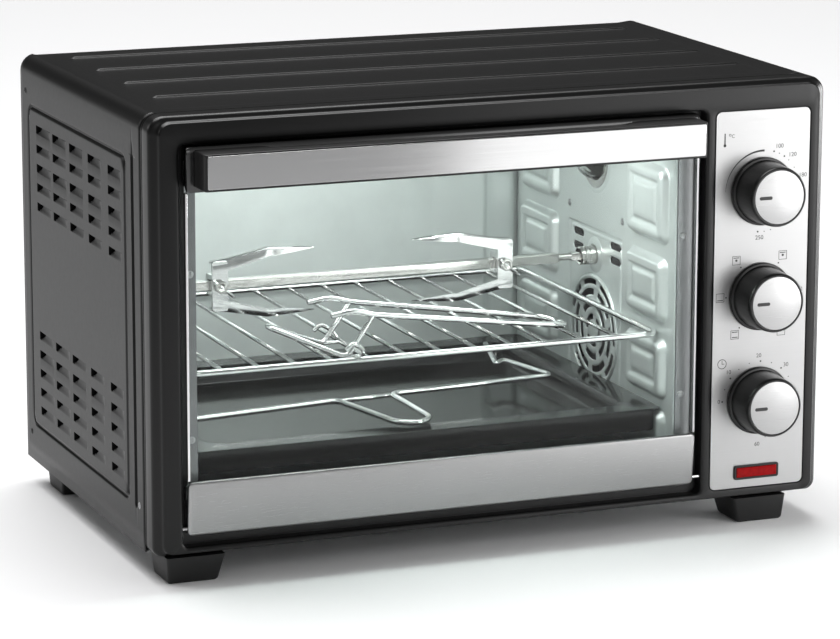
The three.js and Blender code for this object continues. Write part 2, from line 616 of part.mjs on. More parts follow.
// ---- convection fan --------------------------------------------------------------------
function fanWheel() {
  const hub = rodX(6, 402, 411, MID_CAV_Y, FAN_Z, 20);
  const disc = rodX(FAN_R - 8, 409.5, 410.7, MID_CAV_Y, FAN_Z, 32);
  const shaft = rodX(2.5, 410, 432, MID_CAV_Y, FAN_Z, 16);
  const blades = [];
  for (let i = 0; i < 8; i += 1) {
    const angle = (i / 8) * 2 * Math.PI;
    const blade = new THREE.BoxGeometry(8.7, FAN_R - 5, 1);
    blade.translate(406.35, (FAN_R - 5) / 2 + 5, 0);
    blade.rotateX(angle);
    blade.translate(0, MID_CAV_Y, FAN_Z);
    blades.push(solid(blade));
  }
  return joined([hub, disc, shaft, ...blades]);
}
part('fan_wheel', fanWheel(), 'steel');
function fanMotor() {
  const can = rodX(19, 424, 450, MID_CAV_Y, FAN_Z, 32);
  const bar = box(424, 427, MID_CAV_Y - 46, MID_CAV_Y + 46, FAN_Z - 6, FAN_Z + 6);
  const posts = postsX(2.5, CAV_X1 + SHEET + GAP, 425, [MID_CAV_Y - 42, MID_CAV_Y + 42], FAN_Z);
  return joined([can, bar, posts]).subtract(rodX(2.8, 420, 434, MID_CAV_Y, FAN_Z, 16));
}
part('fan_motor', fanMotor(), 'motor');

// ---- wire rack and tray ----------------------------------------------------------------
const RACK_X0 = CAV_X0 + GAP + 0.2 + RACK_R;
const RACK_X1 = CAV_X1 - GAP - 0.2 - RACK_R;
const RACK_Y0 = 36;
const RACK_Y1 = 287;
function wireRack() {
  const loop = wire([
    [(RACK_X0 + RACK_X1) / 2, RACK_Y0, RACK_Z], [RACK_X1, RACK_Y0, RACK_Z], [RACK_X1, RACK_Y1, RACK_Z],
    [RACK_X0, RACK_Y1, RACK_Z], [RACK_X0, RACK_Y0, RACK_Z],
  ], RACK_R, 9, 8, true);
  const z = RACK_Z - RACK_R - RACK_WIRE_R + 0.8;
  const wires = [];
  for (let x = RACK_X0 + RACK_PITCH; x < RACK_X1 - 10; x += RACK_PITCH) {
    wires.push(wire([[x, RACK_Y0 - 1, z], [x, RACK_Y1 + 1, z]], RACK_WIRE_R, 1, 6));
  }
  return joined([loop, ...wires]);
}
part('wire_rack', wireRack(), 'chrome');

const TRAY_DEPTH = 14;
function bakingTray() {
  const [x0, x1, y0, y1] = [CAV_X0 + 0.5, CAV_X1 - 0.5, 30, 296];
  const ring = (inset, z, r) => roundedRect(x0 + inset, x1 - inset, y0 + inset, y1 - inset, r).map(([x, y]) => [x, y, z]);
  const sheet = 0.8;
  const floor = TRAY_RIM_Z + sheet - TRAY_DEPTH;
  const rim = loft([ring(0, TRAY_RIM_Z, 6), ring(0, TRAY_RIM_Z + sheet, 6)]);
  const pan = loft([ring(25.5, floor - sheet, 10), ring(21.2, TRAY_RIM_Z, 14)]);
  const inside = loft([ring(26, floor, 10), ring(22, TRAY_RIM_Z + sheet + 0.01, 14)]);
  return rim.add(pan).subtract(inside);
}
part('baking_tray', bakingTray(), 'enamel');

// tool for lifting the hot tray: a long loop handle, two legs, a raised tongue and two hooks
const WIRE_TOP = RACK_Z - RACK_R + 0.8;
function trayHandle() {
  const low = WIRE_TOP + GAP + TOOL_R;
  const cy = 66;
  const loop = wire([
    [146, cy + 24, 171], [162, cy + 24, 173.2], [175, cy + 23.5, 169], [322, cy + 15, 148], [332, cy + 7, 145.5],
    [332, cy - 7, 145.5], [322, cy - 15, 148], [175, cy - 23.5, 169], [162, cy - 24, 173.2], [146, cy - 24, 171],
  ], TOOL_R, 10, 8);
  const tongue = wire([
    [176, cy + 23.5, 168.5], [156, cy + 24, low], [106, cy + 4, 161], [106, cy - 4, 161],
    [156, cy - 24, low], [176, cy - 23.5, 168.5],
  ], 1.9, 5, 6);
  const hooks = wire([
    [152.5, cy + 33, low + 8], [157.5, cy + 33, low + 12.5], [165, cy + 31, low + 8], [169, cy + 25, low + 0.4],
    [169, cy - 25, low + 0.4], [165, cy - 31, low + 8], [157.5, cy - 33, low + 12.5], [152.5, cy - 33, low + 8],
  ], 1.5, 4, 6);
  const brace = (side) => wire([[155, cy + side * 23.6, low + 0.2], [168, cy + side * 23.6, low + 0.4]], 1.4, 1, 6);
  return joined([loop, tongue, hooks, brace(1), brace(-1)]);
}
part('tray_handle', trayHandle(), 'chrome');

// tool for lifting the hot spit: two arms with notched ends and a grip loop, lying on the tray
function spitLifter() {
  const z = TRAY_RIM_Z + 0.8 + GAP + TOOL_R;
  const tilt = 0.11;
  const [cx, cy] = [203, 131];
  const at = (u, v, lift = 0) => [cx + u * Math.cos(tilt) + v * Math.sin(tilt), cy + u * Math.sin(tilt) - v * Math.cos(tilt), z + lift];
  const frame = wire([
    at(-148, -88, 6), at(-134, -46), at(-146, -58), at(-154, 4), at(-22, 0), at(-14, 78), at(0, 88), at(14, 78), at(22, 0),
    at(157, 4), at(149, -58), at(137, -46), at(151, -88, 6),
  ], TOOL_R, 7, 8);
  const tie = wire([at(-20, 3), at(20, 3)], 1.8, 1, 8);
  return frame.add(tie);
}
part('spit_lifter', spitLifter(), 'chrome');

export default oven;
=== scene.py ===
from math import ceil, cos, hypot, pi, radians, sin

import bmesh
import bpy
from mathutils import Matrix, Vector


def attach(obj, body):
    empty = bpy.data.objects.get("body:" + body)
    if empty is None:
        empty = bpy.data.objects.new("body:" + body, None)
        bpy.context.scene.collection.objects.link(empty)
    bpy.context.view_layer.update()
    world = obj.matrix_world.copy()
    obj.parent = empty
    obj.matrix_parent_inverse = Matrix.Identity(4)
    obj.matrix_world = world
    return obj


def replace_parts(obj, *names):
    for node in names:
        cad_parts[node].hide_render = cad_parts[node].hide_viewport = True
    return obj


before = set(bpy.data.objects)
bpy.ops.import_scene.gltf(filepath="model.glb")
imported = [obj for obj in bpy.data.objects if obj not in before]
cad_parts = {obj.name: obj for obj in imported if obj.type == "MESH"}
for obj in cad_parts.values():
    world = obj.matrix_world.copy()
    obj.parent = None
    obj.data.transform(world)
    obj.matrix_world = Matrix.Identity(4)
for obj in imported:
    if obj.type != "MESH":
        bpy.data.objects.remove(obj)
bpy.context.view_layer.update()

SCENE = bpy.context.scene
TAU = 2 * pi
WELD = 1e-7  # metres: points closer than this are one point
NOISE_RANGE = (0.25, 0.75)  # most values of a noise texture lie in here


def P(x, y, z):
    return Vector(((x - 255.0) / 1000.0, (y - 145.0) / 1000.0, z / 1000.0))


# ---- materials ---------------------------------------------------------------------------
def set_inputs(node, **values):
    """Sets inputs of a node by name, with _ for each space."""
    for key, value in values.items():
        node.inputs[key.replace("_", " ")].default_value = value
    return node


class Shader:
    """A Principled material with small helpers for its procedural nodes."""

    def __init__(self, name, base, rough, metal=0.0, **sockets):
        self.mat = bpy.data.materials.new(name)
        self.mat.use_nodes = True
        self.mat.diffuse_color = (*base, 1.0)
        self.nodes = self.mat.node_tree.nodes
        self.links = self.mat.node_tree.links
        self.bsdf = self.nodes["Principled BSDF"]
        set_inputs(self.bsdf, Base_Color=(*base, 1.0), Roughness=rough, Metallic=metal, **sockets)
        self.coord = self.nodes.new("ShaderNodeTexCoord")

    def noise(self, scale, stretch=(1, 1, 1), detail=3.0, roughness=0.55):
        mapping = set_inputs(self.nodes.new("ShaderNodeMapping"), Scale=[s * scale for s in stretch])
        self.links.new(self.coord.outputs["Object"], mapping.inputs["Vector"])
        tex = self.nodes.new("ShaderNodeTexNoise")
        set_inputs(tex, Scale=1.0, Detail=detail, Roughness=roughness)
        self.links.new(mapping.outputs["Vector"], tex.inputs["Vector"])
        return tex.outputs["Fac"]

    def ramp(self, source, low, high, stops=(0.3, 0.7)):
        node = self.nodes.new("ShaderNodeValToRGB")
        for element, stop, colour in zip(node.color_ramp.elements, stops, (low, high)):
            element.position = stop
            element.color = (*colour, 1.0)
        self.links.new(source, node.inputs["Fac"])
        return node.outputs["Color"]

    def spread(self, source, low, high):
        node = self.nodes.new("ShaderNodeMapRange")
        set_inputs(node, From_Min=NOISE_RANGE[0], From_Max=NOISE_RANGE[1], To_Min=low, To_Max=high)
        self.links.new(source, node.inputs["Value"])
        return node.outputs["Result"]

    def colour(self, source):
        self.links.new(source, self.bsdf.inputs["Base Color"])
        return self

    def rough(self, source):
        self.links.new(source, self.bsdf.inputs["Roughness"])
        return self

    def bump(self, source, distance, strength=1.0):
        node = set_inputs(self.nodes.new("ShaderNodeBump"), Distance=distance, Strength=strength)
        self.links.new(source, node.inputs["Height"])
        last = self.bsdf.inputs["Normal"]
        if last.is_linked:
            self.links.new(last.links[0].from_socket, node.inputs["Normal"])
        self.links.new(node.outputs["Normal"], last)
        return self


def grey(v, tint=(1, 1, 1)):
    return tuple(v * t for t in tint)


def painted(name, value, rough, grain=1600, depth=0.00005, level=0.5):
    s = Shader(name, grey(value), rough, Specular_IOR_Level=level)
    s.colour(s.ramp(s.noise(34, detail=4), grey(value * 0.94), grey(value * 1.06)))
    s.rough(s.spread(s.noise(240, detail=3), rough - 0.012, rough + 0.016))
    s.bump(s.noise(grain, detail=2), depth, 0.35)
    return s.mat


def brushed(name, value, rough, stretch, contrast=0.05):
    """Metal with fine scratches along the axis that has the smallest stretch."""
    s = Shader(name, grey(value), rough, 1.0)
    fine = s.noise(1.0, stretch, detail=5, roughness=0.7)
    s.colour(s.ramp(fine, grey(value * (1 - contrast)), grey(value * (1 + contrast * 0.6)), NOISE_RANGE))
    s.rough(s.spread(fine, rough - 0.06, rough + 0.09))
    s.bump(fine, 0.00001, 0.5)
    return s.mat


def plated(name, value, rough, tint=(1, 1, 1)):
    s = Shader(name, grey(value, tint), rough, 1.0)
    s.colour(s.ramp(s.noise(60, detail=4), grey(value * 0.92, tint), grey(value * 1.04, tint)))
    s.rough(s.spread(s.noise(160, detail=3), rough - 0.02, rough + 0.05))
    s.bump(s.noise(240, detail=2), 0.00002, 0.15)
    return s.mat


def liner(name, value, rough, tint):
    s = Shader(name, grey(value, tint), rough, 0.7)
    s.colour(s.ramp(s.noise(38, detail=6, roughness=0.6), grey(value * 0.96, tint), grey(value * 1.03, tint)))
    s.rough(s.spread(s.noise(26, detail=5), rough - 0.06, rough + 0.1))
    s.bump(s.noise(700, detail=3), 0.00002, 0.2)
    return s.mat


def clear(name, tint, rough=0.0):
    """Glass that lets lamps through, with a slightly uneven surface."""
    s = Shader(name, tint, rough, 0.0, Transmission_Weight=1.0, IOR=1.2)
    s.bump(s.noise(9, detail=2), 0.0002, 0.08)
    see = set_inputs(s.nodes.new("ShaderNodeBsdfTransparent"), Color=(*tint, 1.0))
    path = s.nodes.new("ShaderNodeLightPath")
    mix = s.nodes.new("ShaderNodeMixShader")
    s.links.new(path.outputs["Is Shadow Ray"], mix.inputs["Fac"])
    s.links.new(s.bsdf.outputs["BSDF"], mix.inputs[1])
    s.links.new(see.outputs["BSDF"], mix.inputs[2])
    s.links.new(mix.outputs["Shader"], s.nodes["Material Output"].inputs["Surface"])
    return s.mat


M = {
    "wrap": painted("wrap_paint", 0.004, 0.36, level=0.19),
    "bezel": painted("bezel_paint", 0.004, 0.3, grain=1100, level=0.3),
    "plastic": painted("moulded_black", 0.007, 0.4, grain=2200, depth=0.00004, level=0.35),
    "knob": painted("knob_black", 0.005, 0.3, grain=2400, depth=0.00003, level=0.4),
    "foot": painted("foot_black", 0.008, 0.5, grain=1500, depth=0.00006, level=0.35),
    "enamel": painted("black_enamel", 0.0025, 0.12, grain=300, depth=0.00004, level=0.3),
    "brushed_x": brushed("brushed_along_x", 0.46, 0.15, (10, 1600, 2600)),
    "panel": brushed("brushed_panel", 0.35, 0.34, (8, 1400, 2200), 0.04),
    "cap": brushed("knob_cap_steel", 0.37, 0.3, (12, 1400, 2200), 0.04),
    "polished": brushed("rail_steel", 0.11, 0.2, (10, 900, 1200)),
    "rail": brushed("rail_brushed", 0.34, 0.3, (60, 2600, 3600), 0.06),
    "chrome": plated("bright_wire", 0.78, 0.1),
    "tool": plated("tool_chrome", 0.74, 0.14),
    "nickel": plated("spit_nickel", 0.62, 0.17, (1.0, 0.985, 0.95)),
    "zinc": plated("zinc_plate", 0.42, 0.34, (1.0, 1.0, 1.02)),
    "liner": liner("cavity_sheet", 0.74, 0.4, (0.95, 1.0, 0.985)),
    "flange": liner("flange_sheet", 0.2, 0.34, (1.0, 1.0, 1.03)),
    "backsheet": liner("rear_sheet", 0.34, 0.42, (0.98, 1.0, 1.0)),
    "steatite": painted("steatite", 0.62, 0.6, grain=900, depth=0.0001),
    "ink": painted("dial_ink", 0.02, 0.55, grain=3000, depth=0.00001),
    "dark": painted("shadow_black", 0.004, 0.8),
}


def red_plastic():
    s = Shader("red_lens", (0.4, 0.004, 0.006), 0.24, Subsurface_Weight=0.2, Specular_IOR_Level=0.1)
    set_inputs(s.bsdf, Subsurface_Radius=(0.004, 0.0004, 0.0004))
    set_inputs(s.bsdf, Emission_Color=(1.0, 0.03, 0.02, 1.0), Emission_Strength=0.03)
    s.colour(s.ramp(s.noise(300, detail=3), (0.2, 0.001, 0.002), (0.3, 0.003, 0.004)))
    s.bump(s.noise(700, detail=1), 0.0001, 0.4)
    return s.mat


M["red"] = red_plastic()
M["glass"] = clear("door_glass_clear", (0.93, 0.97, 0.955))
M["lampglass"] = clear("lamp_glass_clear", (0.96, 0.97, 0.96), 0.06)


# ---- mesh helpers; widths and thicknesses are in millimetres --------------------------------
def finish_mesh(name, bm, mat, body, angle=32.0):
    """The mesh as a piece with its material, riding on its body."""
    bmesh.ops.remove_doubles(bm, verts=bm.verts, dist=WELD)
    bmesh.ops.recalc_face_normals(bm, faces=bm.faces)
    me = bpy.data.meshes.new(name)
    bm.to_mesh(me)
    bm.free()
    for p in me.polygons:
        p.use_smooth = True
    me.set_sharp_from_angle(angle=radians(angle))
    me.materials.append(M[mat])
    o = bpy.data.objects.new(name, me)
    SCENE.collection.objects.link(o)
    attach(o, body)
    return o


def bevelled(o, width, segments=2, harden=False):
    m = o.modifiers.new("edge", "BEVEL")
    m.width = width / 1000.0
    m.segments = segments
    m.limit_method = "ANGLE"
    m.angle_limit = radians(35)
    m.harden_normals = harden


def sheet(o, thickness, offset):
    m = o.modifiers.new("sheet", "SOLIDIFY")
    m.thickness = thickness / 1000.0
    m.offset = offset
    return o


def rounded(u0, u1, v0, v1, radii, steps=8):
    """Points round a rectangle; radii is one number or one per corner from low-low round."""
    four = radii if isinstance(radii, (list, tuple)) else [radii] * 4
    corners = [
        (u0, v0, 1, 1, pi), (u1, v0, -1, 1, 1.5 * pi),
        (u1, v1, -1, -1, 0.0), (u0, v1, 1, -1, 0.5 * pi),
    ]
    pts = []
    for (u, v, su, sv, start), r in zip(corners, four):
        n = steps if r > 0.01 else 0
        for i in range(n + 1):
            a = start + (i / max(n, 1)) * pi / 2
            pts.append((u + su * r + r * cos(a), v + sv * r + r * sin(a)))
    return pts


def place(axis, u, v, d):
    """Outline coordinates (u, v) at distance d along the axis."""
    if axis == "x":
        return P(d, u, v)
    if axis == "y":
        return P(u, d, v)
    return P(u, v, d)


def ring_verts(bm, axis, outline, d):
    return [bm.verts.new(place(axis, u, v, d)) for u, v in outline]


def bridge(bm, *rings):
    """Quads from each ring to the next; all rings have the same number of points."""
    for a, b in zip(rings, rings[1:]):
        for i in range(len(a)):
            j = (i + 1) % len(a)
            bm.faces.new([a[i], a[j], b[j], b[i]])


def fill_between(bm, rings):
    """A flat face inside the first ring, with the other rings as its holes."""
    edges = []
    for ring in rings:
        for pair in zip(ring, ring[1:] + ring[:1]):
            edges.append(bm.edges.get(pair) or bm.edges.new(pair))
    bmesh.ops.triangle_fill(bm, use_beauty=True, use_dissolve=False, edges=edges)


def loft(name, rings, mat, body, angle=32.0):
    """Closed skin over rings of (x, y, z) in millimetres."""
    bm = bmesh.new()
    made = [[bm.verts.new(P(*p)) for p in ring] for ring in rings]
    bridge(bm, *made)
    bm.faces.new(made[0])
    bm.faces.new(made[-1])
    return finish_mesh(name, bm, mat, body, angle)


def prism(name, axis, outline, d0, d1, mat, body, holes=(), edge=0.3, segments=2):
    """A plate or bar with its outline in the plane across the axis; holes go right through."""
    bm = bmesh.new()
    low = [ring_verts(bm, axis, o, d0) for o in (outline, *holes)]
    high = [ring_verts(bm, axis, o, d1) for o in (outline, *holes)]
    for a, b in zip(low, high):
        bridge(bm, a, b)
    for rings in (low, high):
        if len(rings) == 1:
            bm.faces.new(rings[0])
        else:
            fill_between(bm, rings)
    o = finish_mesh(name, bm, mat, body)
    if edge:
        bevelled(o, edge, segments)
    return o


def turned(bm, axis, centre, profile_at, segments):
    """Skin over rows of (radius, distance) from profile_at(angle), turned about the axis."""
    rows = []
    for i in range(segments):
        a = TAU * i / segments
        row = []
        for r, d in profile_at(a):
            u, v = r * cos(a), r * sin(a)
            apart = (d, u, v) if axis == "x" else (u, d, v)
            row.append((r, bm.verts.new(P(*(c + p for c, p in zip(centre, apart))))))
        rows.append(row)
    for a, b in zip(rows, rows[1:] + rows[:1]):
        for k in range(len(a) - 1):
            if max(a[k][0], a[k + 1][0]) > 1e-6:
                bm.faces.new([a[k][1], a[k + 1][1], b[k + 1][1], b[k][1]])
    return [[v for r, v in row] for row in rows]


def weld(bm):
    bmesh.ops.remove_doubles(bm, verts=bm.verts, dist=WELD)
    bmesh.ops.dissolve_degenerate(bm, edges=bm.edges, dist=WELD)


def lathe(name, axis, centre, profile, mat, body, segments=64):
    """A closed profile of (radius, distance) turned about the axis through the centre."""
    bm = bmesh.new()
    turned(bm, axis, centre, lambda a: profile, segments)
    weld(bm)
    return finish_mesh(name, bm, mat, body)


def bent_path(points, bend, closed, steps):
    """The points joined, with each corner rounded over the length bend."""
    raw = [Vector(p) for p in points]
    n = len(raw)
    path = []
    for i, p in enumerate(raw):
        if not closed and i in (0, n - 1):
            path.append(p)
            continue
        a, c = raw[i - 1], raw[(i + 1) % n]
        reach = min(bend, (a - p).length * 0.48, (c - p).length * 0.48)
        f = p + (a - p).normalized() * reach
        t = p + (c - p).normalized() * reach
        for k in range(steps + 1):
            s = k / steps
            path.append(f * (1 - s) ** 2 + p * 2 * s * (1 - s) + t * s * s)
    return path


def tube_into(bm, points, r, bend, sides, closed=False, steps=7):
    path = bent_path(points, bend, closed, steps)
    n = len(path)
    side = None
    rings = []
    for i, p in enumerate(path):
        before = path[i - 1] if closed or i else path[0]
        after = path[(i + 1) % n] if closed or i < n - 1 else path[-1]
        along = (after - before).normalized()
        if side is None:
            side = Vector((0, 0, 1)) if abs(along.z) < 0.9 else Vector((1, 0, 0))
        side = (side - along * side.dot(along)).normalized()
        other = along.cross(side)
        ring = []
        for k in range(sides):
            a = TAU * k / sides
            ring.append(bm.verts.new(P(*(p + side * r * cos(a) + other * r * sin(a)))))
        rings.append(ring)
    bridge(bm, *rings)
    if closed:
        bridge(bm, rings[-1], rings[0])
    else:
        for end, inward in ((rings[0], path[1] - path[0]), (rings[-1], path[-2] - path[-1])):
            step = inward.normalized() * -0.35 * r
            mid = sum((v.co for v in end), Vector()) / len(end)
            small = [bm.verts.new(mid + (v.co - mid) * 0.72 + step / 1000.0) for v in end]
            bridge(bm, end, small)
            bm.faces.new(small)


def tubes(name, runs, mat, body):
    """Bent round bars in one piece; each run holds what tube_into() takes."""
    bm = bmesh.new()
    for run in runs:
        tube_into(bm, **run)
    return finish_mesh(name, bm, mat, body, 40)


def stops_between(low, high, stops, most):
    """Grid lines from low to high through every stop, no wider apart than most."""
    marks = sorted({round(s, 4) for s in [low, high, *stops] if low <= s <= high})
    lines = [marks[0]]
    for m in marks[1:]:
        gap = m - lines[-1]
        if gap < 0.05:
            continue
        n = ceil(gap / most)
        start = lines[-1]
        lines += [start + gap * k / n for k in range(1, n + 1)]
    return lines


def skin_grid(bm, grid, i, j):
    bm.faces.new([grid[i][j], grid[i + 1][j], grid[i + 1][j + 1], grid[i][j + 1]])


def relief(name, us, vs, at, mat, thick, keep=None, angle=50.0):
    """A sheet of the case on grid lines us and vs; at(u, v) gives its point in millimetres.

    keep says which cells stay; a negative thickness lies on the other side of the sheet."""
    bm = bmesh.new()
    grid = [[bm.verts.new(P(*at(u, v))) for v in vs] for u in us]
    for i in range(len(us) - 1):
        for j in range(len(vs) - 1):
            if keep is None or keep((us[i] + us[i + 1]) / 2, (vs[j] + vs[j + 1]) / 2):
                skin_grid(bm, grid, i, j)
    bmesh.ops.delete(bm, geom=[v for v in bm.verts if not v.link_faces], context="VERTS")
    o = finish_mesh(name, bm, mat, H, angle)
    return sheet(o, abs(thick), -1.0 if thick > 0 else 1.0)


def smooth(t):
    t = min(1.0, max(0.0, t))
    return t * t * (3 - 2 * t)


def ridge(value, centre, half, soft):
    """1 on the centre line, falling to 0 past half + soft."""
    return smooth((half + soft - abs(value - centre)) / soft)


def inside(value, low, high, soft):
    """1 well inside low..high, 0 outside, with soft flanks inside the limits."""
    return smooth(min(value - low, high - value) / soft)


def rim_distance(du, dv, r):
    """Distance in from the edge of a rectangle with corner radius r; du and dv are the
    distances in from its nearer sides."""
    if du > r or dv > r:
        return min(du, dv)
    return r - hypot(max(r - du, 0), max(r - dv, 0))


def both_ends(low, high, steps):
    return [low + d for d in steps] + [high - d for d in steps]


def screw(name, axis, centre, r, mat, out, into):
    """Pan head with a cross recess; it faces along -into on its axis."""
    prof = [
        (0.0, 0.55 * out), (r * 0.2, 0.55 * out), (r * 0.24, out), (r * 0.62, out * 0.93),
        (r * 0.9, out * 0.6), (r, 0.12), (r, -0.3),
    ]

    def profile_at(a):
        cross = abs(cos(2 * a)) > 0.93
        heights = [out * 0.6 if cross and k in (2, 3) else d for k, (rr, d) in enumerate(prof)]
        return [(rr, -into * height) for (rr, d), height in zip(prof, heights)]

    bm = bmesh.new()
    rows = turned(bm, axis, centre, profile_at, 24)
    bm.faces.new([row[-1] for row in rows])
    weld(bm)
    return finish_mesh(name, bm, mat, H, 28)


H = "housing"
W, TOP, BACK, FOOT = 510.0, 325.5, 312.0, 19.0  # width, top, rear face and underside of the body
MIDY = 152.0  # the spit, the fan and the lamp share this y

# ---- outer case: one sheet over left side, top and right side ----------------------------
WRAP_R = 12.0
SIDE_LEN = TOP - FOOT - WRAP_R
ARC = WRAP_R * pi / 2
TOP_LEN = W - 2 * WRAP_R
PERIM = 2 * SIDE_LEN + 2 * ARC + TOP_LEN
LOUVRE_REAR = (96.0, 143.0, 188.0, 229.9, 271.5)
LOUVRE_LEN = (30.0, 31.0, 33.0, 34.0, 36.0)
LOUVRE_TOPS = [b - 14.4 * i for b in (278.5, 123.5) for i in range(5)]
RIBS = ((288, 1.12), (225, 0.04), (160, 0.04), (93, 0.04))  # centre and half width of each crest
RIB_RISE, RIB_FLANK = 1.4, 2.1
TOP_DROP, FIELD_DROP = 1.1, 0.5  # the top lies this far under TOP, and its middle field lower still
LEAN = 5.0  # the ribs come forward by this much from left to right


def side_relief(y, z):
    """How far a side panel stands out (+) or in (-) at a point."""
    h = 0.0
    # pressed panel with a groove round it, faint along its front edge
    y0, y1, z0, z1 = 56.0, 293.0, 47.0, 292.0
    dy, dz = min(y - y0, y1 - y), min(z - z0, z1 - z)
    if min(dy, dz) > -2:
        d = rim_distance(dy, dz, 9)
        front_edge = y - y0 < min(y1 - y, z - z0 - 6, z1 - z - 6)
        h -= (0.25 if front_edge else 1.3) * ridge(d, 1.6, 0.7, 1.2)
        h += 0.5 * smooth((d - 2.4) / 1.6)
    # upright groove by the front edge
    past_end = max(0.0, 49 - z, z - 292)
    h -= 2.4 * ridge(hypot(y - 42, past_end), 0, 1.9, 1.3)
    # louvres: a ramp that deepens to an opening at its rear end
    for rear, length in zip(LOUVRE_REAR, LOUVRE_LEN):
        if not rear - length - 1 <= y <= rear + 1:
            continue
        for top in LOUVRE_TOPS:
            if not top - 7 <= z <= top + 0.5:
                continue
            u = (rear - y) / length
            v = (top - z) / 6.2
            if 0.01 < u < 0.99 and 0.02 < v < 1:
                ends = min(1.0, (1 - u) / 0.06, u / 0.015)
                depth = 2.2 * (1 - v) ** 0.8 * (0.4 + 0.6 * (1 - u))
                if (rear - y) < 9.5 * (1 - v) + 1.2 and v < 0.97:
                    depth = 8.0
                elif v < 0.14:
                    depth = max(depth, 3.0)
                h = 0.4 - depth * max(0.0, ends)
    return h


def wrap_point(s, y):
    """s runs up the left side, over the top and down the right side."""
    if s <= SIDE_LEN:
        z = FOOT + s
        return (0 - side_relief(y, z), y, z)
    s2 = s - SIDE_LEN
    if s2 <= ARC:
        a = s2 / WRAP_R
        return (WRAP_R - WRAP_R * cos(a), y, TOP - WRAP_R + WRAP_R * sin(a))
    s3 = s2 - ARC
    if s3 <= TOP_LEN:
        x = WRAP_R + s3
        h = 0.0
        ends = min(smooth((x - 31) / 4), smooth((483 - x) / 5))
        for centre, crest in RIBS:
            h += RIB_RISE * ridge(y, centre, crest, RIB_FLANK) * ends
        field = min(smooth((x - 24) / 4), smooth((486 - x) / 4)) * inside(y, 40, 302, 4)
        lean = LEAN * smooth((x - 27) / 450) * (1 - smooth((x - 484) / 12))
        lean *= smooth((y - 44) / 40) * smooth((304 - y) / 14)
        return (x, y - lean, TOP + (h - FIELD_DROP * field - TOP_DROP))
    s4 = s3 - TOP_LEN
    if s4 <= ARC:
        a = s4 / WRAP_R
        return (W - WRAP_R + WRAP_R * sin(a), y, TOP - WRAP_R + WRAP_R * cos(a))
    z = TOP - WRAP_R - (s4 - ARC)
    return (W + side_relief(y, z), y, z)


def wrap_lines():
    """Grid lines of the wrap, close together wherever its relief changes."""
    zs = [45.5, 46.5, 47, 48, 48.6, 49.4, 50.2, 51, 52, 56]
    zs += [292 + d for d in (-9, -5, -4, -3.2, -2.4, -1.6, -1, 0, 0.5, 1.6, 2.6)]
    for top in LOUVRE_TOPS:
        zs += [top - d for d in (-0.3, 0, 0.3, 0.9, 1.6, 3, 4.5, 6.2, 6.5)]
    left = [z - FOOT for z in zs] + [SIDE_LEN + ARC * k / 7 for k in range(8)]
    ss = left + [PERIM - s for s in left]
    for x in (22, 24, 26, 28, 30, 31, 32, 33, 34, 35, 478, 480, 481, 482, 483, 484, 486, 488):
        ss.append(SIDE_LEN + ARC - WRAP_R + x)
    ys = [38.8, 39.6, 40, 40.5, 41, 41.2, 42, 42.8, 43.5, 44, 44.4, 45.2]
    ys += [54.5, 55.5, 56, 57, 57.6, 58.4, 59.2, 60, 61, 65]
    ys += [284, 288, 289, 289.8, 290.6, 291.4, 292, 293, 293.5, 298, 300, 302]
    for rear, length in zip(LOUVRE_REAR, LOUVRE_LEN):
        ys += [rear - d for d in (-0.3, 0, 0.4, 2.5, 5, 8, 10, length * 0.5)]
        ys += [rear - length + d for d in (2, 0.4, 0, -0.3)]
    for centre, crest in RIBS:
        flank = [crest + d for d in (2.8, 2.1, 1.6, 1.1, 0.5, 0)]
        ys += [centre - d for d in flank] + [centre] + [centre + d for d in flank]
    return stops_between(0, PERIM, ss, 14), stops_between(22.3, BACK, ys, 8)


us, vs = wrap_lines()
wrap = relief("wrap_shell", us, vs, wrap_point, "wrap", 0.9, angle=38)
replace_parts(wrap, "outer_wrap")
for k, (y, z, finish) in enumerate(((35, 49, "zinc"), (300, 40, "plastic"), (300, 300, "plastic"))):
    screw(f"wrap_screw_left_{k}", "x", (0.4, y, z), 2.6, finish, 1.0, 1)
    screw(f"wrap_screw_right_{k}", "x", (W - 0.4, y, z), 2.6, finish, 1.0, -1)

REAR_SCREWS = ((20, 40), (20, 300), (255, 30), (255, 312), (490, 40), (490, 300), (110, 240), (230, 240))
for k, (x, z) in enumerate(REAR_SCREWS):
    screw(f"rear_screw_{k}", "y", (x, BACK - 1.3, z), 3.2, "zinc", 1.6, -1)

# ---- front bezel --------------------------------------------------------------------------
OPEN = (20.4, 414.0, 25.4, 306.0)  # x0, x1, z0, z1 of the door's opening
PANEL = (421.6, 496.1, 27.1, 304.4)  # and of the control panel
# the frame's outside from its rear edge forwards: y, inset at the sides, inset at the top, top radius
STEPS = [
    (21.7, 0.0, 0.0, 12), (21.5, 0.0, 0.0, 12), (20.9, 0.0, 0.0, 12), (20.4, 0.6, 0.6, 11.6),
    (19.6, 0.6, 0.6, 11.6), (19.1, 0.0, 0.0, 12), (8.6, 0.0, 0.0, 12), (7.2, 0.25, 0.2, 12),
    (6.0, 0.9, 0.7, 11.6), (5.0, 2.0, 1.5, 11), (4.3, 3.6, 2.6, 10.2), (3.6, 4.9, 3.4, 9.6),
    (2.6, 5.6, 3.9, 9.2), (1.4, 5.9, 4.1, 9.0), (0.6, 6.2, 4.3, 8.8), (0.15, 6.6, 4.6, 8.4),
    (0.0, 7.2, 5.1, 8.0),
]


def grown(limits, d, radius):
    """The rounded outline of x0, x1, z0, z1, moved out by d."""
    x0, x1, z0, z1 = limits
    return rounded(x0 - d, x1 + d, z0 - d, z1 + d, radius + d, 8)


